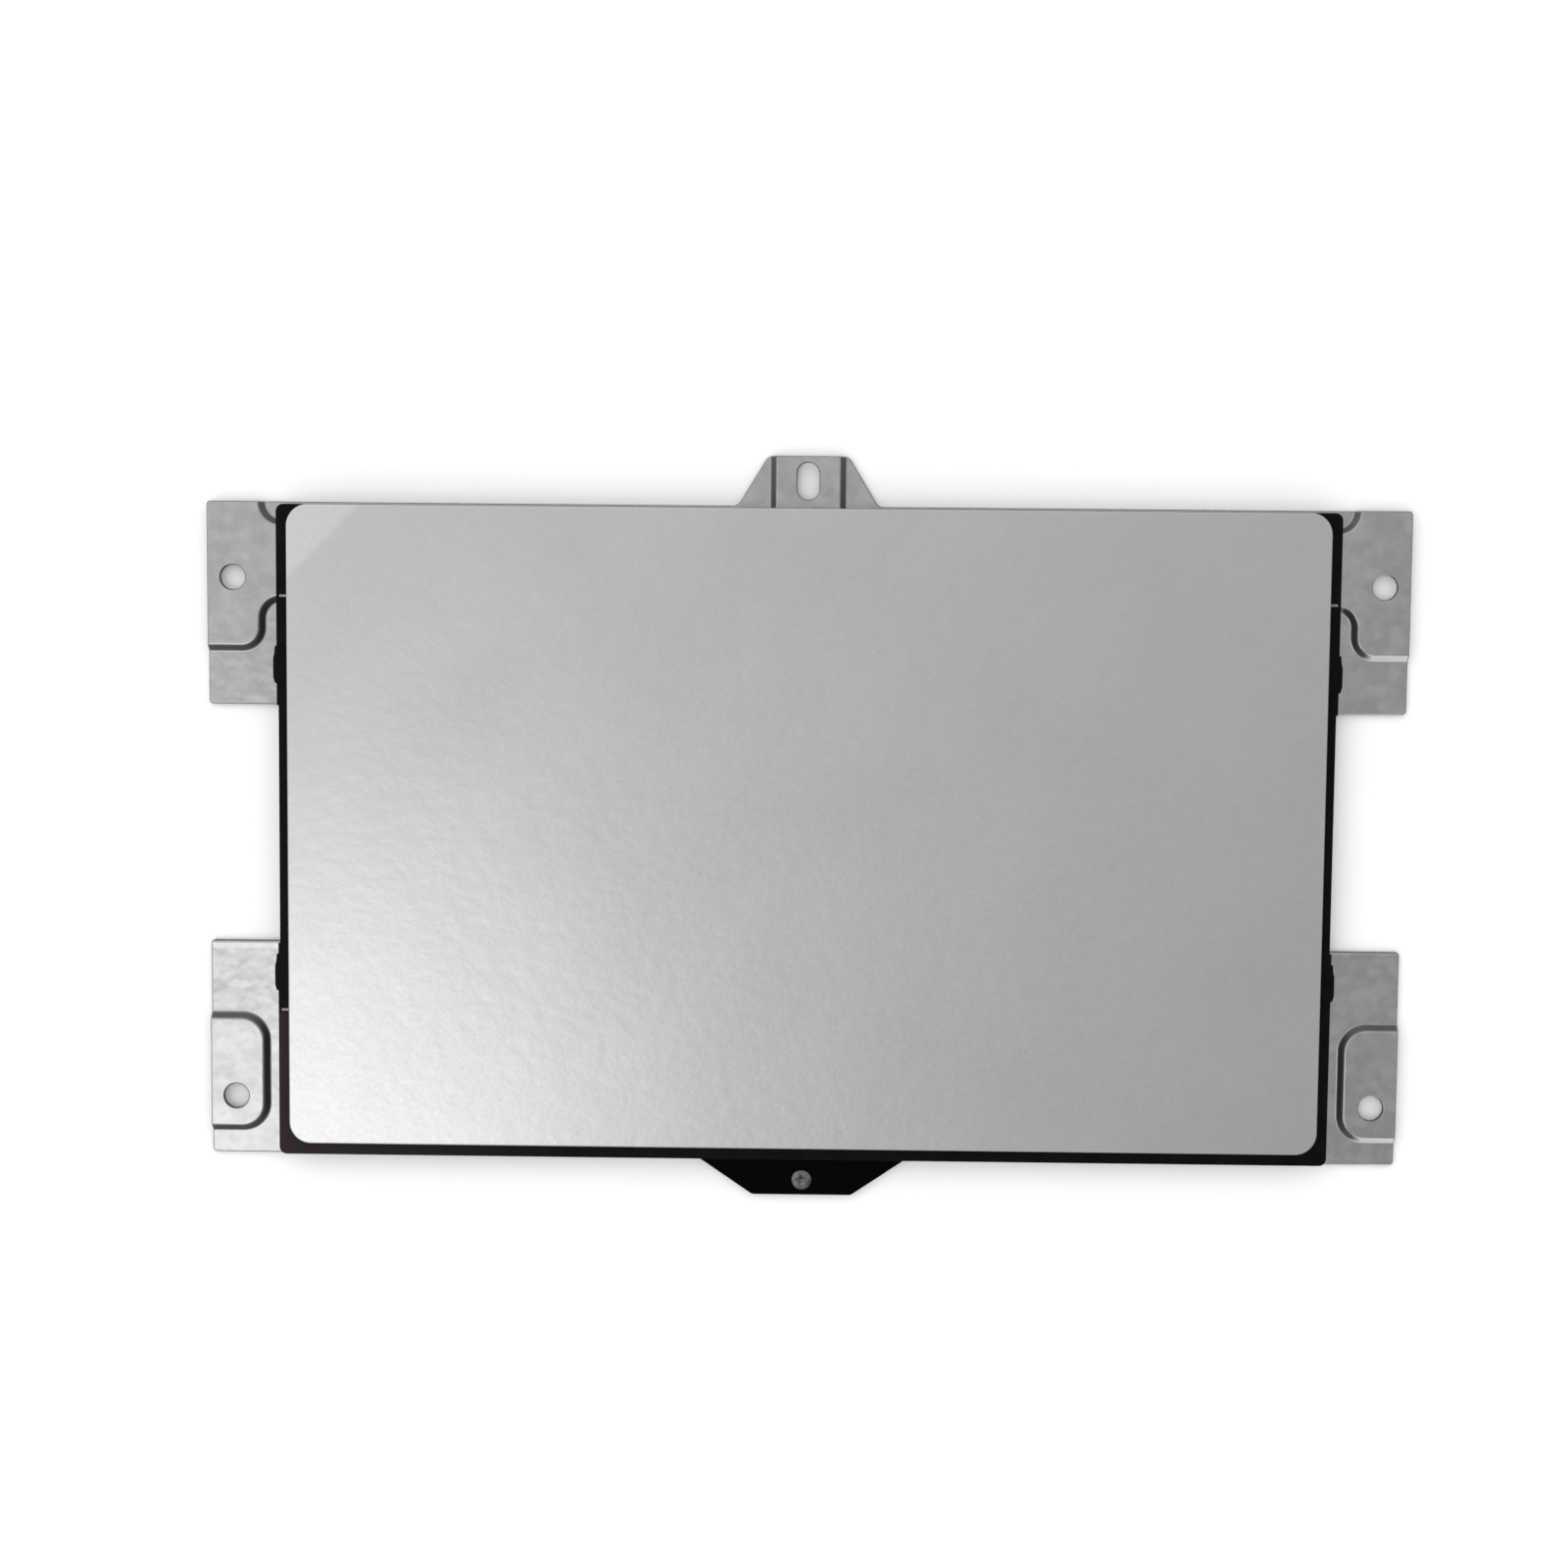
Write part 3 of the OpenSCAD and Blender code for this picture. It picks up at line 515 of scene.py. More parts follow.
coverWidth = coverHigh.x - coverLow.x
coverDepth = coverHigh.y - coverLow.y
coverLoop = rectangle(0, (coverHigh.y + coverLow.y) / 2, coverWidth, coverDepth, touchCover["corner"], 14)
coverMesh = sheetMesh(
    "touchCover", [coverLoop], level(coverHigh.z), level(coverLow.z), roundRim(touchCover["rim"], 6))
addPiece("touchCover", coverMesh, silverFinish(touchCover), "touch_pad", ["touch_cover"])
print("cover made")


# Sensor board: black mask, laminate edge, snapped-off nubs at its sides

sensorBoard = {
    "side": 1.23,
    "corner": 0.8,
    "edge": 0.05,
    "nubLength": 4.0,
    "rearNub": 17.5,
    "frontNub": -16.0,
    "nubCorner": 0.08,
    "waist": 0.2,
    "waistEnds": (-12.8, 13.1),
    "light": (0.0042, 0.0037, 0.0040),
    "dark": (0.0018, 0.0017, 0.0019),
    # painted sheen: lighter violet tone of the border's front left corner, standing in for the key light's
    # reflection
    "paintedSheen": (0.024, 0.0165, 0.0215),
    "paintedSheenSide": 32.0,
    "paintedSheenRear": -20.1,
    "paintedSheenEdge": 0.5,
    "patch": 3.0,
    "grain": 0.12,
    "speck": 0.25,
    "rough": (0.26, 0.42),
    "depth": 0.002,
    "gloss": 0.05,
    "tint": (1.0, 0.85, 0.95),
}

boardHalf = coverHigh.x + sensorBoard["side"]


def nubCorners(nubY):
    # a snapped tab with one ragged shoulder
    reach = sensorBoard["nubLength"] / 2
    corner = sensorBoard["nubCorner"]
    middle = (boardHalf + boardHigh.x) / 2
    return [
        (boardHalf, nubY - reach, corner), (middle, nubY - reach, corner),
        (boardHigh.x, nubY - reach * 0.7, corner), (boardHigh.x, nubY + reach * 0.35, corner),
        (middle + 0.06, nubY + reach * 0.6, corner), (middle, nubY + reach, corner),
        (boardHalf, nubY + reach, corner),
    ]


waistHalf = boardHalf - sensorBoard["waist"]
waistFront, waistRear = sensorBoard["waistEnds"]
waistCorner = sensorBoard["nubCorner"]
boardCorners = [(boardHalf, boardLow.y, sensorBoard["corner"])]
boardCorners += nubCorners(sensorBoard["frontNub"])
boardCorners += [
    (boardHalf, waistFront, waistCorner), (waistHalf, waistFront, waistCorner),
    (waistHalf, waistRear, waistCorner), (boardHalf, waistRear, waistCorner),
]
boardCorners += nubCorners(sensorBoard["rearNub"])
boardCorners.append((boardHalf, boardHigh.y, sensorBoard["corner"]))
boardLoop = roundCorners(bothSides(boardCorners), 5)
boardMesh = sheetMesh(
    "sensorBoard", [boardLoop], level(boardHigh.z), level(boardLow.z), roundRim(sensorBoard["edge"]))


def boardFinish(look):
    # painted sheen: the border is lighter and violet towards the front left corner, standing in for the key
    # light's reflection there
    material = grainedFinish("boardBlack", look)
    tree = material.node_tree
    shader = tree.nodes["Principled BSDF"]
    tone = shader.inputs["Base Color"].links[0].from_socket
    place = tree.nodes.new("ShaderNodeTexCoord").outputs["Object"]
    paintedSheenX = (boardLow.x * mm, (boardLow.x + look["paintedSheenSide"]) * mm)
    paintedSheenY = ((look["paintedSheenRear"] - look["paintedSheenEdge"]) * mm, look["paintedSheenRear"] * mm)
    sideShare = spread(tree, alongAxis(tree, place, "X"), *paintedSheenX, 1, 0)
    rearShare = spread(tree, alongAxis(tree, place, "Y"), *paintedSheenY, 1, 0)
    paintedSheenShare = product(tree, sideShare, rearShare)
    plug(tree, shader, {"Base Color": mixColours(tree, paintedSheenShare, tone, look["paintedSheen"])})
    return material


boardBlack = boardFinish(sensorBoard)
addPiece("sensorBoard", boardMesh, boardBlack, "touch_pad", ["sensor_board"])
print("board made")


# Stamped bracket: one zinc plated sheet with wings, joggled raised areas, windows and tabs

stampedBracket = {
    "sheet": 0.6,
    "edge": 0.15,
    "bendWidth": 0.9,
    "bendShift": 0.25,
    "contours": 12,
    "rearStrip": 0.35,
    "wingFront": 0.32,
    "plateInset": 0.8,
    "rearWing": 21.95,
    "frontWing": 23.6,
    "wingCorner": 0.4,
    "rootCorner": 1.0,
    "ribRear": 2.25,
    "ribWidth": 8.2,
    "lobeWidth": 5.9,
    "lobeLength": 15.85,
    "footWidth": 6.1,
    "footLength": 12.5,
    "footFront": 2.8,
    "raisedCorner": 2.2,
    "footCorner": 2.7,
    "lipWidth": 0.95,
    "lipRise": 0.06,
    "lipLines": 8,
    "rollWidth": 0.32,
    "rollDrop": 0.1,
    "channel": 7.5,
    "rearRoot": 15.2,
    "rearEnd": 8.7,
    "tabCorner": 0.9,
    "slot": (2.4, 4.0, 0.7),
    "frontRoot": 22.7,
    "frontEnd": 10.9,
    "lipInset": 0.3,
    "sideWindow": (11.0, 28.0),
    "sideWindowPlaces": (27.0, 43.0),
    "sideWindowY": -3.0,
    "serviceWindow": (12.0, 11.5),
    "servicePlace": (10.5, 2.5),
    "windowCorner": 1.5,
    "rivetHole": 0.82,
    "rivetPitch": 10.0,
    "rivetBack": 4.0,
    "rivetFore": 6.0,
    "screwHole": 0.72,
}

wingHoles = next(m for m in record["mounts"] if m["name"] == "wing_holes")
holeRadius = wingHoles["dims"]["hole_r_mm"]
holeX = wingHoles["dims"]["spacing_x_mm"] / 2
holeMiddleY = wingHoles["pos_m"][1] / mm
holeSpanY = wingHoles["dims"]["spacing_y_mm"] / 2
screwLow, screwHigh = boxOf("anvil_screw")
screwY = (screwLow.y + screwHigh.y) / 2
pinLow, pinHigh = boxOf("anvil_rivets")
pinY = (pinLow.y + pinHigh.y) / 2
pinRadius = (pinHigh.y - pinLow.y) / 2
pinX = pinHigh.x - pinRadius

wingX = bracketHigh.x
rearY = coverHigh.y + stampedBracket["rearStrip"]
wingFrontY = boardLow.y - stampedBracket["wingFront"]
plateX = boardHalf - stampedBracket["plateInset"]
plateFrontY = boardLow.y + stampedBracket["plateInset"]
rivetBackY = hingeY + stampedBracket["rivetBack"]
rivetForeY = hingeY - stampedBracket["rivetFore"]
beyond = 2.0  # raised shapes run on past the sheet's edge


def bracketOutline(sizes):
    wing = sizes["wingCorner"]
    root = sizes["rootCorner"]
    tab = sizes["tabCorner"]
    return roundCorners(bothSides([
        (sizes["frontEnd"] / 2 - sizes["lipInset"], bracketLow.y, tab),
        (sizes["frontRoot"] / 2 - sizes["lipInset"], plateFrontY, tab),
        (plateX, plateFrontY, 0),
        (plateX, wingFrontY, 0),
        (wingX, wingFrontY, wing),
        (wingX, wingFrontY + sizes["frontWing"], wing),
        (plateX, wingFrontY + sizes["frontWing"], root),
        (plateX, rearY - sizes["rearWing"], root),
        (wingX, rearY - sizes["rearWing"], wing),
        (wingX, rearY, wing),
        (sizes["rearRoot"] / 2, rearY, tab),
        (sizes["rearEnd"] / 2, bracketHigh.y, tab),
    ]))


def raisedShapes(sizes, grow):
    lobeX = wingX - sizes["lobeWidth"] - grow
    lobeY = rearY - sizes["lobeLength"] - grow
    ribRearY = rearY - sizes["ribRear"] + grow
    ribFrontY = rearY - sizes["ribRear"] - sizes["ribWidth"] - grow
    corner = sizes["raisedCorner"]
    channelX = sizes["channel"] / 2 + grow
    rib = roundCorners(bothSides([
        (lobeX, ribFrontY, corner - grow),
        (lobeX, lobeY, corner + grow),
        (wingX + beyond, lobeY, 0),
        (wingX + beyond, rearY + beyond, 0),
        (lobeX, rearY + beyond, 0),
        (lobeX, ribRearY, corner - grow),
        (channelX, ribRearY, corner - grow),
        (channelX, bracketHigh.y + beyond, 0),
    ]), 10)
    footX = wingX - sizes["footWidth"] - grow
    footY = wingFrontY + sizes["footFront"]
    footCorner = sizes["footCorner"] + grow
    rightFoot = roundCorners([
        (footX, footY - grow, footCorner),
        (wingX + beyond, footY - grow, 0),
        (wingX + beyond, footY + sizes["footLength"] + grow, 0),
        (footX, footY + sizes["footLength"] + grow, footCorner),
    ], 10)
    leftFoot = [Vector((-p.x, p.y)) for p in reversed(rightFoot)]
    return [rib, rightFoot, leftFoot]


def bracketHoles(sizes):
    loops = []
    for side in (-1, 1):
        for end in (-1, 1):
            loops.append(circle(side * holeX, holeMiddleY + end * holeSpanY, holeRadius, 48))
            rivetX = side * leafMiddle + end * sizes["rivetPitch"] / 2
            loops.append(circle(rivetX, rivetBackY, sizes["rivetHole"], 24))
        loops.append(circle(side * pinX, pinY, pinRadius, 32))
        for windowX in sizes["sideWindowPlaces"]:
            loops.append(rectangle(
                side * windowX, sizes["sideWindowY"], *sizes["sideWindow"], sizes["windowCorner"]))
        loops.append(rectangle(
            side * sizes["servicePlace"][0], sizes["servicePlace"][1], *sizes["serviceWindow"],
            sizes["windowCorner"]))
    slotWidth, slotLength, slotEnd = sizes["slot"]
    slotY = bracketHigh.y - slotEnd - slotLength / 2
    loops.append(rectangle(0, slotY, slotWidth, slotLength, slotWidth / 2 - 0.02, 12))
    loops.append(circle(0, screwY, sizes["screwHole"], 24))
    return [asHole(loop) for loop in loops]


lipY = wingFrontY + stampedBracket["frontWing"]
raisedEdge = raisedShapes(stampedBracket, 0.0)
raiseHeight = bracketHigh.z - stampedBracket["sheet"]


def joggle(points, shift):
    across = distanceTo(points, raisedEdge) + shift
    share = np.clip(0.5 - across / stampedBracket["bendWidth"], 0, 1)
    return raiseHeight * share * share * (3 - 2 * share)


def rearLip(points):
    # the front wings' rear edge curls up a little and rolls over at its end, from the board's edge outward
    inward = lipY - points[:, 1]
    curl = np.where(inward > 0, np.clip(1 - inward / stampedBracket["lipWidth"], 0, 1), 0)
    roll = np.where(inward > 0, np.clip(1 - inward / stampedBracket["rollWidth"], 0, 1), 0)
    rise = stampedBracket["lipRise"] * curl * curl * (3 - 2 * curl)
    rise -= stampedBracket["rollDrop"] * roll * roll
    return rise * np.clip(np.abs(points[:, 0]) - plateX, 0, 1)


def bracketTop(points):
    return stampedBracket["sheet"] + joggle(points, 0.0) + rearLip(points)


def bracketBottom(points):
    return joggle(points, stampedBracket["bendShift"])


contours = []
contourLow = -stampedBracket["bendWidth"] / 2 - stampedBracket["bendShift"]
contourHigh = stampedBracket["bendWidth"] / 2
for index in range(stampedBracket["contours"] + 1):
    grow = contourLow + (contourHigh - contourLow) * index / stampedBracket["contours"]
    for shape in raisedShapes(stampedBracket, grow):
        contours.append(shape + shape[:1])
for step in range(stampedBracket["lipLines"] - 1):
    lineY = lipY - stampedBracket["lipWidth"] * (1 - step / stampedBracket["lipLines"])
    for side in (-1, 1):
        contours.append([Vector((side * x, lineY)) for x in (plateX, plateX + 1, wingX + beyond)])
bracketMesh = sheetMesh(
    "stampedBracket", [bracketOutline(stampedBracket)] + bracketHoles(stampedBracket),
    bracketTop, bracketBottom, roundRim(stampedBracket["edge"]), contours)

bracketZinc = {
    "light": (0.364, 0.368, 0.366),
    "dark": (0.322, 0.326, 0.325),
    # painted shade for bends and sheared edges, partly worn plating
    "paintedBendShade": (0.108, 0.1085, 0.109),
    "scratch": (0.43, 0.435, 0.432),
    # painted highlight on the right wings' front bends
    "paintedGlint": (0.80, 0.805, 0.80),
    "patch": 5.0,
    "blotch": 1.6,
    "spangle": 1.1,
    "grain": 0.22,
    "streak": 2.4,
    "streakStretch": (1, 8, 1),
    "mottle": (1.1, 1.9),
    "speck": 0.025,
    "rubbed": (0.5, 0.65),
    "scuffs": (0.6, 0.72),
    "scuffShare": 0.4,
    "bentSlope": (0.985, 0.84),
    "glintForward": (-0.2, -0.4),
    "glintStraight": (-0.34, -0.08),
    "glintSlope": (0.60, 0.68),
    "rough": (0.235, 0.325),
    "bendRough": 0.48,
    "paintedGlintRough": 0.80,
    "ripple": 0.055,
    "depth": 0.0015,
}


def zincFinish(look):
    material, tree, shader, place = startFinish("zincPlate")
    blotch = noiseOf(tree, place, look["blotch"], 1.0)
    patches = noiseOf(tree, place, look["patch"], 3.0, distortion=0.6)
    grain = noiseOf(tree, place, look["grain"], 3.0)
    lines = noiseOf(tree, place, look["streak"], 3.0, look["streakStretch"])
    spangleInputs = {"Vector": place, "Scale": 1 / (look["spangle"] * mm), "Randomness": 1.0}
    spangle = addNode(tree, "ShaderNodeTexVoronoi", spangleInputs, feature="SMOOTH_F1")
    crystal = addNode(tree, "ShaderNodeSeparateColor", {"Color": spangle.outputs["Color"]}).outputs["Red"]
    mottle = calculate(tree, calculate(tree, patches, crystal, "ADD"), blotch, "ADD")
    tone = mixColours(tree, spread(tree, mottle, *look["mottle"], 0, 1), look["dark"], look["light"])
    tone = shadeBy(tree, tone, spreadNoise(tree, grain, 1 - look["speck"], 1 + look["speck"]))
    rubbed = spread(tree, patches, *look["rubbed"], 0, 1)
    scuffs = product(tree, spread(tree, lines, *look["scuffs"], 0, look["scuffShare"]), rubbed)
    tone = mixColours(tree, scuffs, tone, look["scratch"])
    # painted shade: bends and sheared edges are darkened, mostly standing in for the dark reflections and shade in
    # the joggles, partly for plating worn thin there
    flatness = levelShare(tree)
    bent = spread(tree, flatness, *look["bentSlope"], 0, 1)
    tone = mixColours(tree, bent, tone, look["paintedBendShade"])
    # painted highlight: the right wings' straight front bends are pale and dull, standing in for the glint of
    # light along them
    onRight = spread(tree, alongAxis(tree, place, "X"), 0, 1 * mm, 0, 1)
    forward = spread(tree, facingShare(tree, "Y"), *look["glintForward"], 0, 1)
    straight = spread(tree, facingShare(tree, "X"), *look["glintStraight"], 0, 1)
    gentle = spread(tree, flatness, *look["glintSlope"], 0, 1)
    paintedGlintShare = product(tree, onRight, forward, bent, gentle, straight)
    tone = mixColours(tree, paintedGlintShare, tone, look["paintedGlint"])
    rough = spread(tree, calculate(tree, crystal, grain, "ADD"), 0.5, 1.5, *look["rough"])
    rough = roughen(tree, rough, bent, look["bendRough"])
    rough = roughen(tree, rough, paintedGlintShare, look["paintedGlintRough"])
    relief = bumpOf(tree, blotch, look["ripple"])
    relief = bumpOf(tree, grain, look["depth"], relief)
    plug(tree, shader, {"Base Color": tone, "Roughness": rough, "Normal": relief})
    shader.inputs["Metallic"].default_value = 1.0
    return material


zincPlate = zincFinish(bracketZinc)
addPiece("stampedBracket", bracketMesh, zincPlate, "bracket", ["mounting_bracket"])
print("bracket made:", len(bracketMesh.vertices), "vertices")


# Click anvil: black coated tab under the switch

clickAnvil = {
    "edge": 0.06,
    "light": (0.0013, 0.0013, 0.0015),
    "dark": (0.0005, 0.0005, 0.0006),
    "patch": 2.2,
    "grain": 0.1,
    "speck": 0.2,
    "rough": (0.3, 0.48),
    "depth": 0.002,
    "gloss": 0.018,
}

anvilRoot = stampedBracket["frontRoot"] / 2
anvilCorner = stampedBracket["tabCorner"]
anvilLoop = roundCorners(bothSides([
    (stampedBracket["frontEnd"] / 2, anvilLow.y, anvilCorner),
    (anvilRoot, wingFrontY, anvilCorner),
    (anvilRoot, anvilHigh.y, anvilCorner),
]))
anvilHoles = [circle(0, screwY, stampedBracket["screwHole"], 24)]
anvilHoles += [circle(side * pinX, pinY, pinRadius, 32) for side in (-1, 1)]
anvilMesh = sheetMesh(
    "clickAnvil", [anvilLoop] + [asHole(loop) for loop in anvilHoles],
    level(anvilHigh.z), level(anvilLow.z), roundRim(clickAnvil["edge"]))
anvilBlack = grainedFinish("anvilBlack", clickAnvil)
addPiece("clickAnvil", anvilMesh, anvilBlack, "bracket", ["click_anvil"])
print("anvil made")


# Anvil screw: pan head with a tapered cross

anvilScrew = {
    "shank": 0.7,
    "recessLength": 1.35,
    "recessWidth": 0.36,
    "recessDepth": 0.2,
    "light": (0.165, 0.167, 0.170),
    "dark": (0.066, 0.067, 0.069),
    "patch": 0.7,
    "grain": 0.08,
    "speck": 0.12,
    "rough": (0.25, 0.45),
    "depth": 0.003,
    "metal": 1.0,
}

headRadius = (screwHigh.x - screwLow.x) / 2
headHeight = screwHigh.z - anvilHigh.z
screwProfile = [
    (0, screwLow.z), (anvilScrew["shank"] - 0.1, screwLow.z), (anvilScrew["shank"], screwLow.z + 0.1),
    (anvilScrew["shank"], anvilHigh.z), (headRadius - 0.03, anvilHigh.z), (headRadius, anvilHigh.z + 0.03),
    (headRadius, anvilHigh.z + headHeight * 0.55), (headRadius - 0.05, anvilHigh.z + headHeight * 0.74),
    (headRadius - 0.16, anvilHigh.z + headHeight * 0.9), (headRadius - 0.36, screwHigh.z - 0.005),
    (headRadius - 0.6, screwHigh.z), (0, screwHigh.z),
]


def crossCutter(sizes):
    floor = screwHigh.z - sizes["recessDepth"]
    top = screwHigh.z + 0.1
    loops = []
    for height, length, width in ((floor, 0.55, 0.7), (top, 1.0, 1.0)):
        long = sizes["recessLength"] / 2 * length
        short = sizes["recessWidth"] / 2 * width
        quarter = [(long, -short), (long, short), (short, short)]
        ring = []
        for turn in range(4):
            for x, y in quarter:
                for _ in range(turn):
                    x, y = -y, x
                ring.append((x, screwY + y, height))
        loops.append(ring)
    count = len(loops[0])
    faces = [tuple(reversed(range(count))), tuple(range(count, 2 * count))]
    faces += [(i, (i + 1) % count, (i + 1) % count + count, i + count) for i in range(count)]
    mesh = bpy.data.meshes.new("crossCutter")
    mesh.from_pydata(loops[0] + loops[1], [], faces)
    mesh.transform(Matrix.Scale(mm, 4))
    return mesh


screwSteel = grainedFinish("screwSteel", anvilScrew)
screwPiece = addPiece(
    "anvilScrew", turnedMesh("anvilScrew", screwProfile, [(0, screwY)], 48), screwSteel,
    "bracket", ["anvil_screw"])
carve(screwPiece, crossCutter(anvilScrew))
print("screw made")


# Stiffener plate under the board

stiffenerPlate = {
    "corner": 1.5,
    "edge": 0.05,
    "serviceRoom": 1.0,
    "switchWindow": 9.4,
    "headHole": 1.7,
    "light": (0.46, 0.465, 0.47),
    "dark": (0.37, 0.375, 0.38),
    "patch": 9.0,
    "grain": 0.35,
    "speck": 0.07,
    "rough": (0.26, 0.42),
    "depth": 0.003,
    "metal": 1.0,
    "stretch": (0.06, 1, 1),
}

switchLow, switchHigh = boxOf("switch_base")
switchX = (switchLow.x + switchHigh.x) / 2
switchY = (switchLow.y + switchHigh.y) / 2
switchWindow = stiffenerPlate["switchWindow"]
windowCorner = stampedBracket["windowCorner"]
serviceX, serviceY = stampedBracket["servicePlace"]
serviceSize = [length + 2 * stiffenerPlate["serviceRoom"] for length in stampedBracket["serviceWindow"]]
stiffWidth = stiffHigh.x - stiffLow.x
stiffDepth = stiffHigh.y - stiffLow.y
stiffLoop = rectangle(0, (stiffLow.y + stiffHigh.y) / 2, stiffWidth, stiffDepth, stiffenerPlate["corner"])
stiffHoles = [rectangle(switchX, switchY, switchWindow, switchWindow, windowCorner)]
for side in (-1, 1):
    stiffHoles.append(rectangle(side * serviceX, serviceY, *serviceSize, windowCorner))
    for end in (-1, 1):
        rivetX = side * leafMiddle + end * stampedBracket["rivetPitch"] / 2
        stiffHoles.append(circle(rivetX, rivetBackY, stiffenerPlate["headHole"], 32))
        stiffHoles.append(circle(rivetX, rivetForeY, stampedBracket["rivetHole"], 24))
stiffMesh = sheetMesh(
    "stiffenerPlate", [stiffLoop] + [asHole(loop) for loop in stiffHoles],
    level(stiffHigh.z), level(stiffLow.z), roundRim(stiffenerPlate["edge"]))
stiffSteel = grainedFinish("stiffenerSteel", stiffenerPlate)
addPiece("stiffenerPlate", stiffMesh, stiffSteel, "touch_pad", ["stiffener_plate"])
print("stiffener made")


# Hinge leaves: spring strips between bracket and pad, with extra lines across the zone where they bend

hingeLeaf = {
    "corner": 1.0,
    "edge": 0.03,
    "relief": (7.0, 3.4, 1.1),
    "bendReach": 1.5,
    "bendSteps": 12,
    "light": (0.56, 0.55, 0.52),
    "dark": (0.46, 0.45, 0.43),
    "patch": 4.0,
    "grain": 0.3,
    "speck": 0.06,
    "rough": (0.2, 0.34),
    "depth": 0.002,
    "metal": 1.0,
    "stretch": (1, 0.08, 1),
}

springSteel = grainedFinish("springSteel", hingeLeaf)
for side, word in ((-1, "left"), (1, "right")):
    low, high = boxOf("hinge_leaf_" + word)
    leafX = (low.x + high.x) / 2
    leafLoop = rectangle(leafX, (low.y + high.y) / 2, high.x - low.x, high.y - low.y, hingeLeaf["corner"])
    leafHoles = [rectangle(leafX, hingeY, *hingeLeaf["relief"])]
    for end in (-1, 1):
        rivetX = leafX + end * stampedBracket["rivetPitch"] / 2
        for rivetY in (rivetBackY, rivetForeY):
            leafHoles.append(circle(rivetX, rivetY, stampedBracket["rivetHole"], 24))
    bendLines = []
    for step in range(hingeLeaf["bendSteps"] + 1):
        lineY = hingeY + hingeLeaf["bendReach"] * (2 * step / hingeLeaf["bendSteps"] - 1)
        bendLines.append([Vector((low.x - 1, lineY)), Vector((high.x + 1, lineY))])
    leafMesh = sheetMesh(
        "hingeLeaf." + word, [leafLoop] + [asHole(loop) for loop in leafHoles],
        level(high.z), level(low.z), roundRim(hingeLeaf["edge"], 2), bendLines)
    leafPiece = addPiece(
        "hingeLeaf." + word, leafMesh, springSteel, replaced=["hinge_leaf_" + word])
    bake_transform(leafPiece)
print("hinge leaves made")


# Rivets and bumpers, turned

rivetLook = {
    "shank": 0.8,
    "head": 0.25,
    "light": (0.44, 0.445, 0.45),
    "dark": (0.33, 0.335, 0.34),
    "patch": 1.2,
    "grain": 0.1,
    "speck": 0.1,
    "rough": (0.24, 0.4),
    "depth": 0.003,
    "metal": 1.0,
}
rivetSteel = grainedFinish("rivetSteel", rivetLook)
leafRivetLow, leafRivetHigh = boxOf("leaf_rivets")
padRivetLow, padRivetHigh = boxOf("pad_rivets")
rivetHead = rivetLook["head"]
rivetRadius = (leafRivetHigh.y - leafRivetLow.y) / 2
rivetXs = [side * leafMiddle + end * stampedBracket["rivetPitch"] / 2 for side in (-1, 1) for end in (-1, 1)]


def headProfile(radius, base, tip):
    # a low dome from its base edge to its tip, upward or downward
    rise = tip - base
    return [
        (radius, base + 0.15 * rise), (radius - 0.03, base + 0.45 * rise),
        (radius * 0.82, base + 0.78 * rise), (radius * 0.55, base + 0.95 * rise),
        (radius * 0.25, tip), (0, tip),
    ]


shank = rivetLook["shank"]
underHead = list(reversed(headProfile(rivetRadius, leafRivetLow.z + rivetHead, leafRivetLow.z)))
overHead = headProfile(rivetRadius, leafRivetHigh.z - rivetHead, leafRivetHigh.z)
leafRivetProfile = underHead + [
    (rivetRadius - 0.04, leafRivetLow.z + rivetHead), (shank, leafRivetLow.z + rivetHead),
    (shank, leafRivetHigh.z - rivetHead), (rivetRadius - 0.04, leafRivetHigh.z - rivetHead),
] + overHead
leafRivetMesh = turnedMesh("leafRivets", leafRivetProfile, [(x, rivetBackY) for x in rivetXs], 36)
addPiece("leafRivets", leafRivetMesh, rivetSteel, "bracket", ["leaf_rivets"])
padHead = list(reversed(headProfile(rivetRadius, padRivetLow.z + rivetHead, padRivetLow.z)))
padRivetProfile = padHead + [
    (rivetRadius - 0.04, padRivetLow.z + rivetHead), (shank, padRivetLow.z + rivetHead),
    (shank, padRivetHigh.z - 0.04), (shank - 0.04, padRivetHigh.z), (0, padRivetHigh.z),
]
padRivetMesh = turnedMesh("padRivets", padRivetProfile, [(x, rivetForeY) for x in rivetXs], 36)
addPiece("padRivets", padRivetMesh, rivetSteel, "touch_pad", ["pad_rivets"])

frontBumper = {
    "dish": 0.06,
    "light": (0.030, 0.030, 0.031),
    "dark": (0.016, 0.016, 0.017),
    "patch": 1.4,
    "grain": 0.09,
    "speck": 0.15,
    "rough": (0.62, 0.85),
    "depth": 0.006,
    "gloss": 0.3,
}
bumperLow, bumperHigh = boxOf("front_bumpers")
bumperRadius = (bumperHigh.y - bumperLow.y) / 2
bumperProfile = [
    (0, bumperLow.z), (bumperRadius, bumperLow.z), (bumperRadius, bumperHigh.z - 0.22),
    (bumperRadius - 0.04, bumperHigh.z - 0.1), (bumperRadius - 0.15, bumperHigh.z - 0.02),
    (bumperRadius - 0.35, bumperHigh.z), (bumperRadius * 0.6, bumperHigh.z),
    (bumperRadius * 0.45, bumperHigh.z - frontBumper["dish"]), (0, bumperHigh.z - frontBumper["dish"]),
]
bumperPlaces = [(side * (bumperHigh.x - bumperRadius), (bumperLow.y + bumperHigh.y) / 2) for side in (-1, 1)]
bumperMesh = turnedMesh("frontBumpers", bumperProfile, bumperPlaces, 48)
bumperRubber = grainedFinish("bumperRubber", frontBumper)
addPiece("frontBumpers", bumperMesh, bumperRubber, "bracket", ["front_bumpers"])
print("rivets and bumpers made")
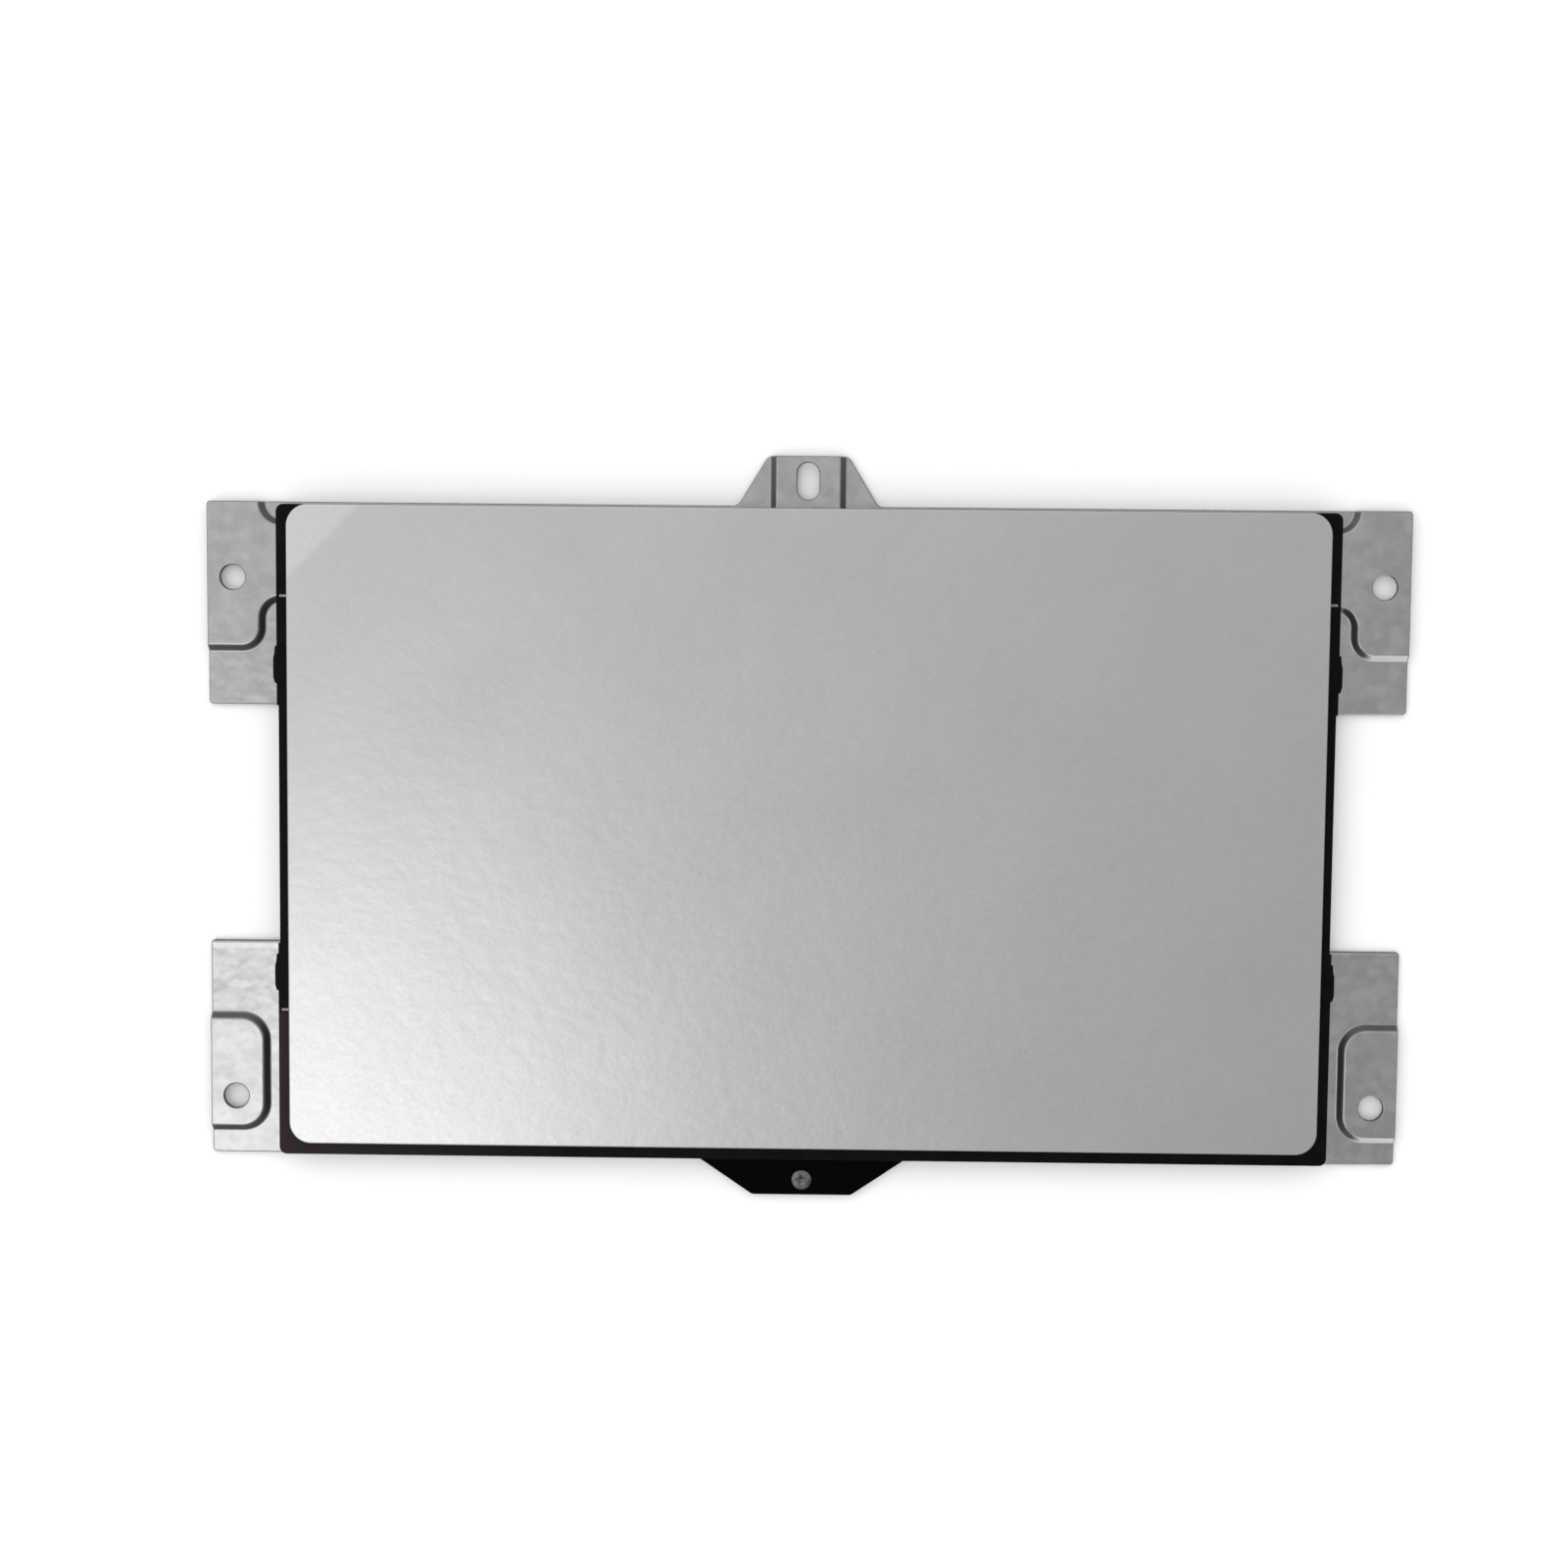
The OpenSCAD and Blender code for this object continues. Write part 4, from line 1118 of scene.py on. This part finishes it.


# Painted highlight: thin grey strips across the board's border, standing in for the glint of the bracket's bend
# edge seen in the gap under the board

paintedGlintStrips = {
    "places": ((1, 24.9), (-1, 24.9), (-1, -20.1)),
    "width": 0.26,
    "thick": 0.03,
    "tucked": 0.5,
    "shortOfEdge": 0.35,
    "corner": 0.05,
    "edge": 0.01,
    "light": (0.26, 0.262, 0.266),
    "dark": (0.15, 0.152, 0.155),
    "patch": 0.4,
    "grain": 0.07,
    "speck": 0.15,
    "rough": (0.35, 0.5),
    "depth": 0.003,
    "metal": 1.0,
}

stripLoops = []
for side, stripY in paintedGlintStrips["places"]:
    stripIn = coverHigh.x - paintedGlintStrips["tucked"]
    stripOut = boardHalf - paintedGlintStrips["shortOfEdge"]
    stripX = side * (stripIn + stripOut) / 2
    stripLoops.append(rectangle(
        stripX, stripY, stripOut - stripIn, paintedGlintStrips["width"], paintedGlintStrips["corner"], 4))
stripMesh = sheetMesh(
    "paintedGlintStrips", stripLoops, level(boardHigh.z + paintedGlintStrips["thick"]), level(boardHigh.z),
    roundRim(paintedGlintStrips["edge"], 2))
addPiece("paintedGlintStrips", stripMesh, grainedFinish("dullFoil", paintedGlintStrips), "touch_pad")
print("paintedHighlight strips made")


# Touch controller: moulded package with a first-pin dimple and tinned lands

touchController = {
    "corner": 0.16,
    "rim": [(0, 0), (0.035, 0.008), (0.06, 0.035), (0.13, 0.33)],
    "dimple": 0.3,
    "dimpleDepth": 0.06,
    "dimpleInset": 0.6,
    "landsPerSide": 10,
    "landPitch": 0.42,
    "landWidth": 0.24,
    "landReach": 0.16,
    "landHeight": 0.1,
    "landEdge": 0.025,
    "light": (0.026, 0.026, 0.028),
    "dark": (0.016, 0.016, 0.0175),
    "patch": 1.5,
    "grain": 0.06,
    "speck": 0.22,
    "rough": (0.5, 0.68),
    "depth": 0.004,
    "gloss": 0.35,
}

solderLook = {
    "light": (0.60, 0.605, 0.61),
    "dark": (0.42, 0.425, 0.43),
    "patch": 0.6,
    "grain": 0.07,
    "speck": 0.12,
    "rough": (0.28, 0.45),
    "depth": 0.003,
    "metal": 1.0,
}

solderTin = grainedFinish("solderTin", solderLook)
chipLow, chipHigh = boxOf("touch_controller")
chipX = (chipLow.x + chipHigh.x) / 2
chipY = (chipLow.y + chipHigh.y) / 2
chipSide = chipHigh.x - chipLow.x
dimpleX = chipLow.x + touchController["dimpleInset"]
dimpleY = chipHigh.y - touchController["dimpleInset"]


def chipFace(points):
    reach = np.hypot(points[:, 0] - dimpleX, points[:, 1] - dimpleY) / touchController["dimple"]
    share = np.clip((1 - reach) / 0.35, 0, 1)
    return chipLow.z + touchController["dimpleDepth"] * share * share * (3 - 2 * share)


dimpleRings = []
for share in (0.2, 0.5, 0.65, 0.75, 0.85, 0.93, 1.0):
    ring = circle(dimpleX, dimpleY, touchController["dimple"] * share, 28)
    dimpleRings.append(ring + ring[:1])
chipMesh = sheetMesh(
    "touchController", [rectangle(chipX, chipY, chipSide, chipSide, touchController["corner"], 4)],
    level(chipHigh.z), chipFace, touchController["rim"], dimpleRings)
chipBlack = grainedFinish("chipBlack", touchController)
addPiece("touchController", chipMesh, chipBlack, "touch_pad", ["touch_controller"])

landBlocks = []
for shift in rowPlaces(0, touchController["landsPerSide"], touchController["landPitch"]):
    for side in (-1, 1):
        edgeAt = side * chipSide / 2
        for middle, wide, deep in (
            ((chipX + edgeAt, chipY + shift), touchController["landReach"], touchController["landWidth"] / 2),
            ((chipX + shift, chipY + edgeAt), touchController["landWidth"] / 2, touchController["landReach"]),
        ):
            landBlocks.append((
                (middle[0] - wide, middle[1] - deep, boardLow.z - touchController["landHeight"]),
                (middle[0] + wide, middle[1] + deep, boardLow.z)))
landMesh = blockMesh("controllerLands", landBlocks, touchController["landEdge"])
addPiece("controllerLands", landMesh, solderTin, "touch_pad")
print("controller made")


# Capacitors and resistors: fired bodies with plated ends

boardCapacitors = {
    "rows": 5,
    "pitch": 1.3,
    "length": 1.0,
    "width": 0.5,
    "end": 0.25,
    "plating": 0.03,
    "edge": 0.035,
    "light": (0.33, 0.235, 0.145),
    "dark": (0.22, 0.15, 0.09),
    "patch": 0.5,
    "grain": 0.06,
    "speck": 0.18,
    "rough": (0.4, 0.6),
    "depth": 0.004,
}
boardResistors = {
    "columns": 6,
    "pitch": 1.5,
    "light": (0.02, 0.02, 0.023),
    "dark": (0.011, 0.011, 0.013),
    "patch": 0.4,
    "grain": 0.05,
    "speck": 0.15,
    "rough": (0.22, 0.4),
    "depth": 0.002,
    "coat": 0.4,
}


def smallParts(node, places, alongX):
    # body and end blocks of a row of small parts, in the node's height
    low, high = boxOf(node)
    sizes = boardCapacitors
    bodies = []
    ends = []
    for x, y in places:
        for shift, length, grow in (
            (0, sizes["length"], 0),
            (sizes["length"] / 2 - sizes["end"] / 2, sizes["end"], sizes["plating"]),
            (sizes["end"] / 2 - sizes["length"] / 2, sizes["end"], sizes["plating"]),
        ):
            half = Vector((length / 2, sizes["width"] / 2 + grow))
            middle = Vector((x + shift, y))
            if not alongX:
                half = Vector((half.y, half.x))
                middle = Vector((x, y + shift))
            bottom = low.z + sizes["plating"] - grow
            block = ((*(middle - half), bottom), (*(middle + half), high.z))
            (ends if grow else bodies).append(block)
    return bodies, ends


capLow, capHigh = boxOf("board_capacitors")
capPlaces = []
for capY in rowPlaces((capLow.y + capHigh.y) / 2, boardCapacitors["rows"], boardCapacitors["pitch"]):
    capPlaces.append((capLow.x + boardCapacitors["length"] / 2, capY))
    capPlaces.append((capHigh.x - boardCapacitors["length"] / 2, capY))
resLow, resHigh = boxOf("board_resistors")
resY = (resLow.y + resHigh.y) / 2
resXs = rowPlaces((resLow.x + resHigh.x) / 2, boardResistors["columns"], boardResistors["pitch"])
resPlaces = [(x, resY) for x in resXs]
for name, node, slot, places, alongX, look in (
    ("capacitors", "board_capacitors", "capacitor_tan", capPlaces, True, boardCapacitors),
    ("resistors", "board_resistors", "resistor_black", resPlaces, False, boardResistors),
):
    bodies, ends = smallParts(node, places, alongX)
    bodyMesh = blockMesh(name, bodies, boardCapacitors["edge"])
    addPiece(name, bodyMesh, grainedFinish(name + "Glaze", look), "touch_pad", [node])
    endMesh = blockMesh(name + ".ends", ends, boardCapacitors["edge"])
    addPiece(name + ".ends", endMesh, solderTin, "touch_pad")
print("small parts made")


# Test pads under the board, in the service windows

testPads = {
    "radius": 0.42,
    "thick": 0.03,
    "left": [(-15.6 + 1.7 * column, -1.7 - 1.5 * row) for row in range(2) for column in range(7)],
    "right": [(6.0 + 1.8 * column, -2.4) for column in range(6)],
    "light": (0.80, 0.58, 0.22),
    "dark": (0.64, 0.44, 0.15),
    "patch": 0.8,
    "grain": 0.08,
    "speck": 0.1,
    "rough": (0.22, 0.38),
    "depth": 0.002,
    "metal": 1.0,
}

contactGold = grainedFinish("contactGold", testPads)
padTip = boardLow.z - testPads["thick"]
padRadius = testPads["radius"]
padProfile = [
    (0, padTip), (padRadius * 0.9, padTip), (padRadius * 0.97, padTip + testPads["thick"] * 0.3),
    (padRadius, boardLow.z), (0, boardLow.z),
]
padMesh = turnedMesh("testPads", padProfile, testPads["left"] + testPads["right"], 28)
addPiece("testPads", padMesh, contactGold, "touch_pad")
print("test pads made")


# Click switch: snap dome under the plunger, with a mesh of its own

switchDome = {
    "sheet": 0.06,
    "rings": 10,
    "keep": 0.235,
}
clickPlunger = {
    "stem": 0.9,
    "flange": 0.1,
    "nose": 0.14,
    "fillet": 0.05,
    "edge": 0.02,
    "light": (0.70, 0.685, 0.64),
    "dark": (0.60, 0.585, 0.54),
    "patch": 0.9,
    "grain": 0.07,
    "speck": 0.05,
    "rough": (0.38, 0.55),
    "depth": 0.003,
}

domeLow, domeHigh = boxOf("switch_dome")
domeRadius = (domeHigh.x - domeLow.x) / 2
domeRise = domeHigh.z - domeLow.z
ballRadius = (domeRadius ** 2 + domeRise ** 2) / (2 * domeRise)
ballZ = domeLow.z + ballRadius


def domeArc(radius):
    # from the tip out to the rim's level
    halfAngle = math.acos((ballZ - domeHigh.z) / radius)
    turns = [halfAngle * i / switchDome["rings"] for i in range(switchDome["rings"] + 1)]
    return [(radius * math.sin(a), ballZ - radius * math.cos(a)) for a in turns]


domeProfile = domeArc(ballRadius) + list(reversed(domeArc(ballRadius - switchDome["sheet"])))
domePiece = addPiece(
    "switchDome", turnedMesh("switchDome", domeProfile, [(switchX, switchY)], 56), springSteel,
    "touch_pad", ["switch_dome"])
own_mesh(domePiece)

plungerLow, plungerHigh = boxOf("switch_plunger")
flangeRadius = (plungerHigh.x - plungerLow.x) / 2
flangeZ = plungerHigh.z - clickPlunger["flange"]
stem = clickPlunger["stem"]
nose = clickPlunger["nose"]
plungerProfile = [(0, plungerLow.z), (stem - nose * 2, plungerLow.z + 0.005)]
plungerProfile += [
    (stem - nose + nose * math.sin(a), plungerLow.z + nose - nose * math.cos(a) + 0.005)
    for a in (math.pi / 2 * i / 4 for i in range(5))
]
fillet = clickPlunger["fillet"]
edge = clickPlunger["edge"]
plungerProfile += [
    (stem, flangeZ - fillet), (stem + fillet, flangeZ), (flangeRadius - edge, flangeZ),
    (flangeRadius, flangeZ + edge), (flangeRadius, plungerHigh.z - edge),
    (flangeRadius - edge, plungerHigh.z), (0, plungerHigh.z),
]
plungerMesh = turnedMesh("switchPlunger", plungerProfile, [(switchX, switchY)], 40)
plungerWhite = grainedFinish("plungerWhite", clickPlunger)
addPiece("switchPlunger", plungerMesh, plungerWhite, "plunger", ["switch_plunger"])
print("switch made")


# CAD solids that stay as they are, with softened edges and their own finishes

keptLooks = {
    "glueFilm": {
        "light": (0.60, 0.57, 0.48), "dark": (0.50, 0.47, 0.39), "patch": 4.0, "grain": 0.25,
        "speck": 0.06, "rough": (0.35, 0.55), "depth": 0.003,
    },
    "connectorIvory": {
        "light": (0.66, 0.60, 0.46), "dark": (0.56, 0.50, 0.37), "patch": 1.6, "grain": 0.07,
        "speck": 0.06, "rough": (0.4, 0.58), "depth": 0.003,
    },
    "latchBrown": {
        "light": (0.055, 0.032, 0.020), "dark": (0.034, 0.020, 0.013), "patch": 1.2, "grain": 0.06,
        "speck": 0.14, "rough": (0.36, 0.55), "depth": 0.003,
    },
    "switchBody": {
        "light": (0.021, 0.018, 0.016), "dark": (0.012, 0.0105, 0.0095), "patch": 1.2, "grain": 0.06,
        "speck": 0.18, "rough": (0.45, 0.62), "depth": 0.004, "gloss": 0.35,
    },
    "switchFrame": {
        "light": (0.60, 0.605, 0.61), "dark": (0.48, 0.485, 0.49), "patch": 1.4, "grain": 0.1,
        "speck": 0.07, "rough": (0.2, 0.34), "depth": 0.002, "metal": 1.0, "stretch": (0.2, 1, 1),
    },
}
keptNodes = {
    "cover_adhesive": ("glueFilm", 0.0),
    "board_adhesive": ("glueFilm", 0.0),
    "anvil_rivets": ("rivetSteel", 0.02),
    "cable_connector": ("connectorIvory", 0.03),
    "connector_contacts": ("contactGold", 0.015),
    "connector_anchors": ("solderTin", 0.02),
    "connector_latch": ("latchBrown", 0.03),
    "switch_base": ("switchBody", 0.03),
    "switch_cover": ("switchFrame", 0.02),
    "switch_terminals": ("solderTin", 0.02),
}

for name, look in keptLooks.items():
    grainedFinish(name, look)
for node, (finish, edge) in keptNodes.items():
    solid = frame["nodes"][node]
    for slot in solid.material_slots:
        slot.material = bpy.data.materials[finish]
    solid.modifiers.new("joinSeams", "WELD").merge_threshold = 0.001 * mm
    if edge:
        soften = solid.modifiers.new("softEdges", "BEVEL")
        soften.width = edge * mm
        soften.segments = 2
        soften.limit_method = "ANGLE"
        soften.angle_limit = math.radians(40)
    solid.modifiers.new("evenShading", "WEIGHTED_NORMAL").weight = 60
print("kept solids finished:", len(keptNodes))


# Floor, light and backdrop

studio = {
    "floorSize": 3.0,
    "floorTone": (0.95, 0.95, 0.95),
    "floorRough": 0.9,
    "floorGloss": 0.1,
    "keyPlace": (-0.297, -0.307, 0.964),
    "keySize": 0.324,
    "keyPower": 0.79,
    "sky": (
        (0.0, 0.10), (0.10, 0.12), (0.22, 1.00), (0.45, 1.20), (0.58, 1.40), (0.70, 1.22), (0.86, 0.928),
    ),
    "skyTilt": (-0.66, 0.60),
    "tiltReach": 0.3,
    "backdrop": 1.0,
}

floorSize = studio["floorSize"]
floorMesh = bpy.data.meshes.new("floor")
floorCorners = [(x * floorSize, y * floorSize, 0) for x, y in ((-1, -1), (1, -1), (1, 1), (-1, 1))]
floorMesh.from_pydata(floorCorners, [], [(0, 1, 2, 3)])
floor = bpy.data.objects.new("floor", floorMesh)
scene.collection.objects.link(floor)
floorPaint, _, floorShader, _ = startFinish("floorPaint")
floorShader.inputs["Base Color"].default_value = (*studio["floorTone"], 1)
floorShader.inputs["Roughness"].default_value = studio["floorRough"]
floorShader.inputs["Specular IOR Level"].default_value = studio["floorGloss"]
floorMesh.materials.append(floorPaint)

keyData = bpy.data.lights.new("keyLight", "AREA")
keyData.size = studio["keySize"]
keyData.energy = studio["keyPower"]
keyLight = bpy.data.objects.new("keyLight", keyData)
keyLight.location = studio["keyPlace"]
keyLight.rotation_euler = (-Vector(studio["keyPlace"])).to_track_quat("-Z", "Y").to_euler()
scene.collection.objects.link(keyLight)

world = bpy.data.worlds.new("studioAir")
world.use_nodes = True
scene.world = world
airTree = world.node_tree
air = airTree.nodes["Background"]
skyPlace = airTree.nodes.new("ShaderNodeTexCoord").outputs["Generated"]
toward = addNode(airTree, "ShaderNodeSeparateXYZ", {"Vector": skyPlace})
skyRamp = addNode(airTree, "ShaderNodeValToRGB", {"Fac": toward.outputs["Z"]})
skyStops = skyRamp.color_ramp.elements
while len(skyStops) < len(studio["sky"]):
    skyStops.new(0.5)
for stop, (height, tone) in zip(skyStops, studio["sky"]):
    stop.position = height
    stop.color = (tone, tone, tone, 1)
seen = airTree.nodes.new("ShaderNodeLightPath").outputs["Is Camera Ray"]
airTone = mixColours(airTree, seen, skyRamp.outputs["Color"], [studio["backdrop"]] * 3)
reach = studio["tiltReach"]
tiltX, tiltY = [tilt * reach for tilt in studio["skyTilt"]]
sideways = spread(airTree, toward.outputs["X"], -reach, reach, 1 - tiltX, 1 + tiltX)
lengthways = spread(airTree, toward.outputs["Y"], -reach, reach, -tiltY, tiltY)
tilt = calculate(airTree, sideways, lengthways, "ADD")
evenly = addNode(airTree, "ShaderNodeMix", {0: seen, 2: tilt, 3: 1.0}, data_type="FLOAT").outputs[0]
airTree.links.new(airTone, air.inputs["Color"])
airTree.links.new(evenly, air.inputs["Strength"])
scene.view_settings.view_transform = "Standard"
print("studio lit")
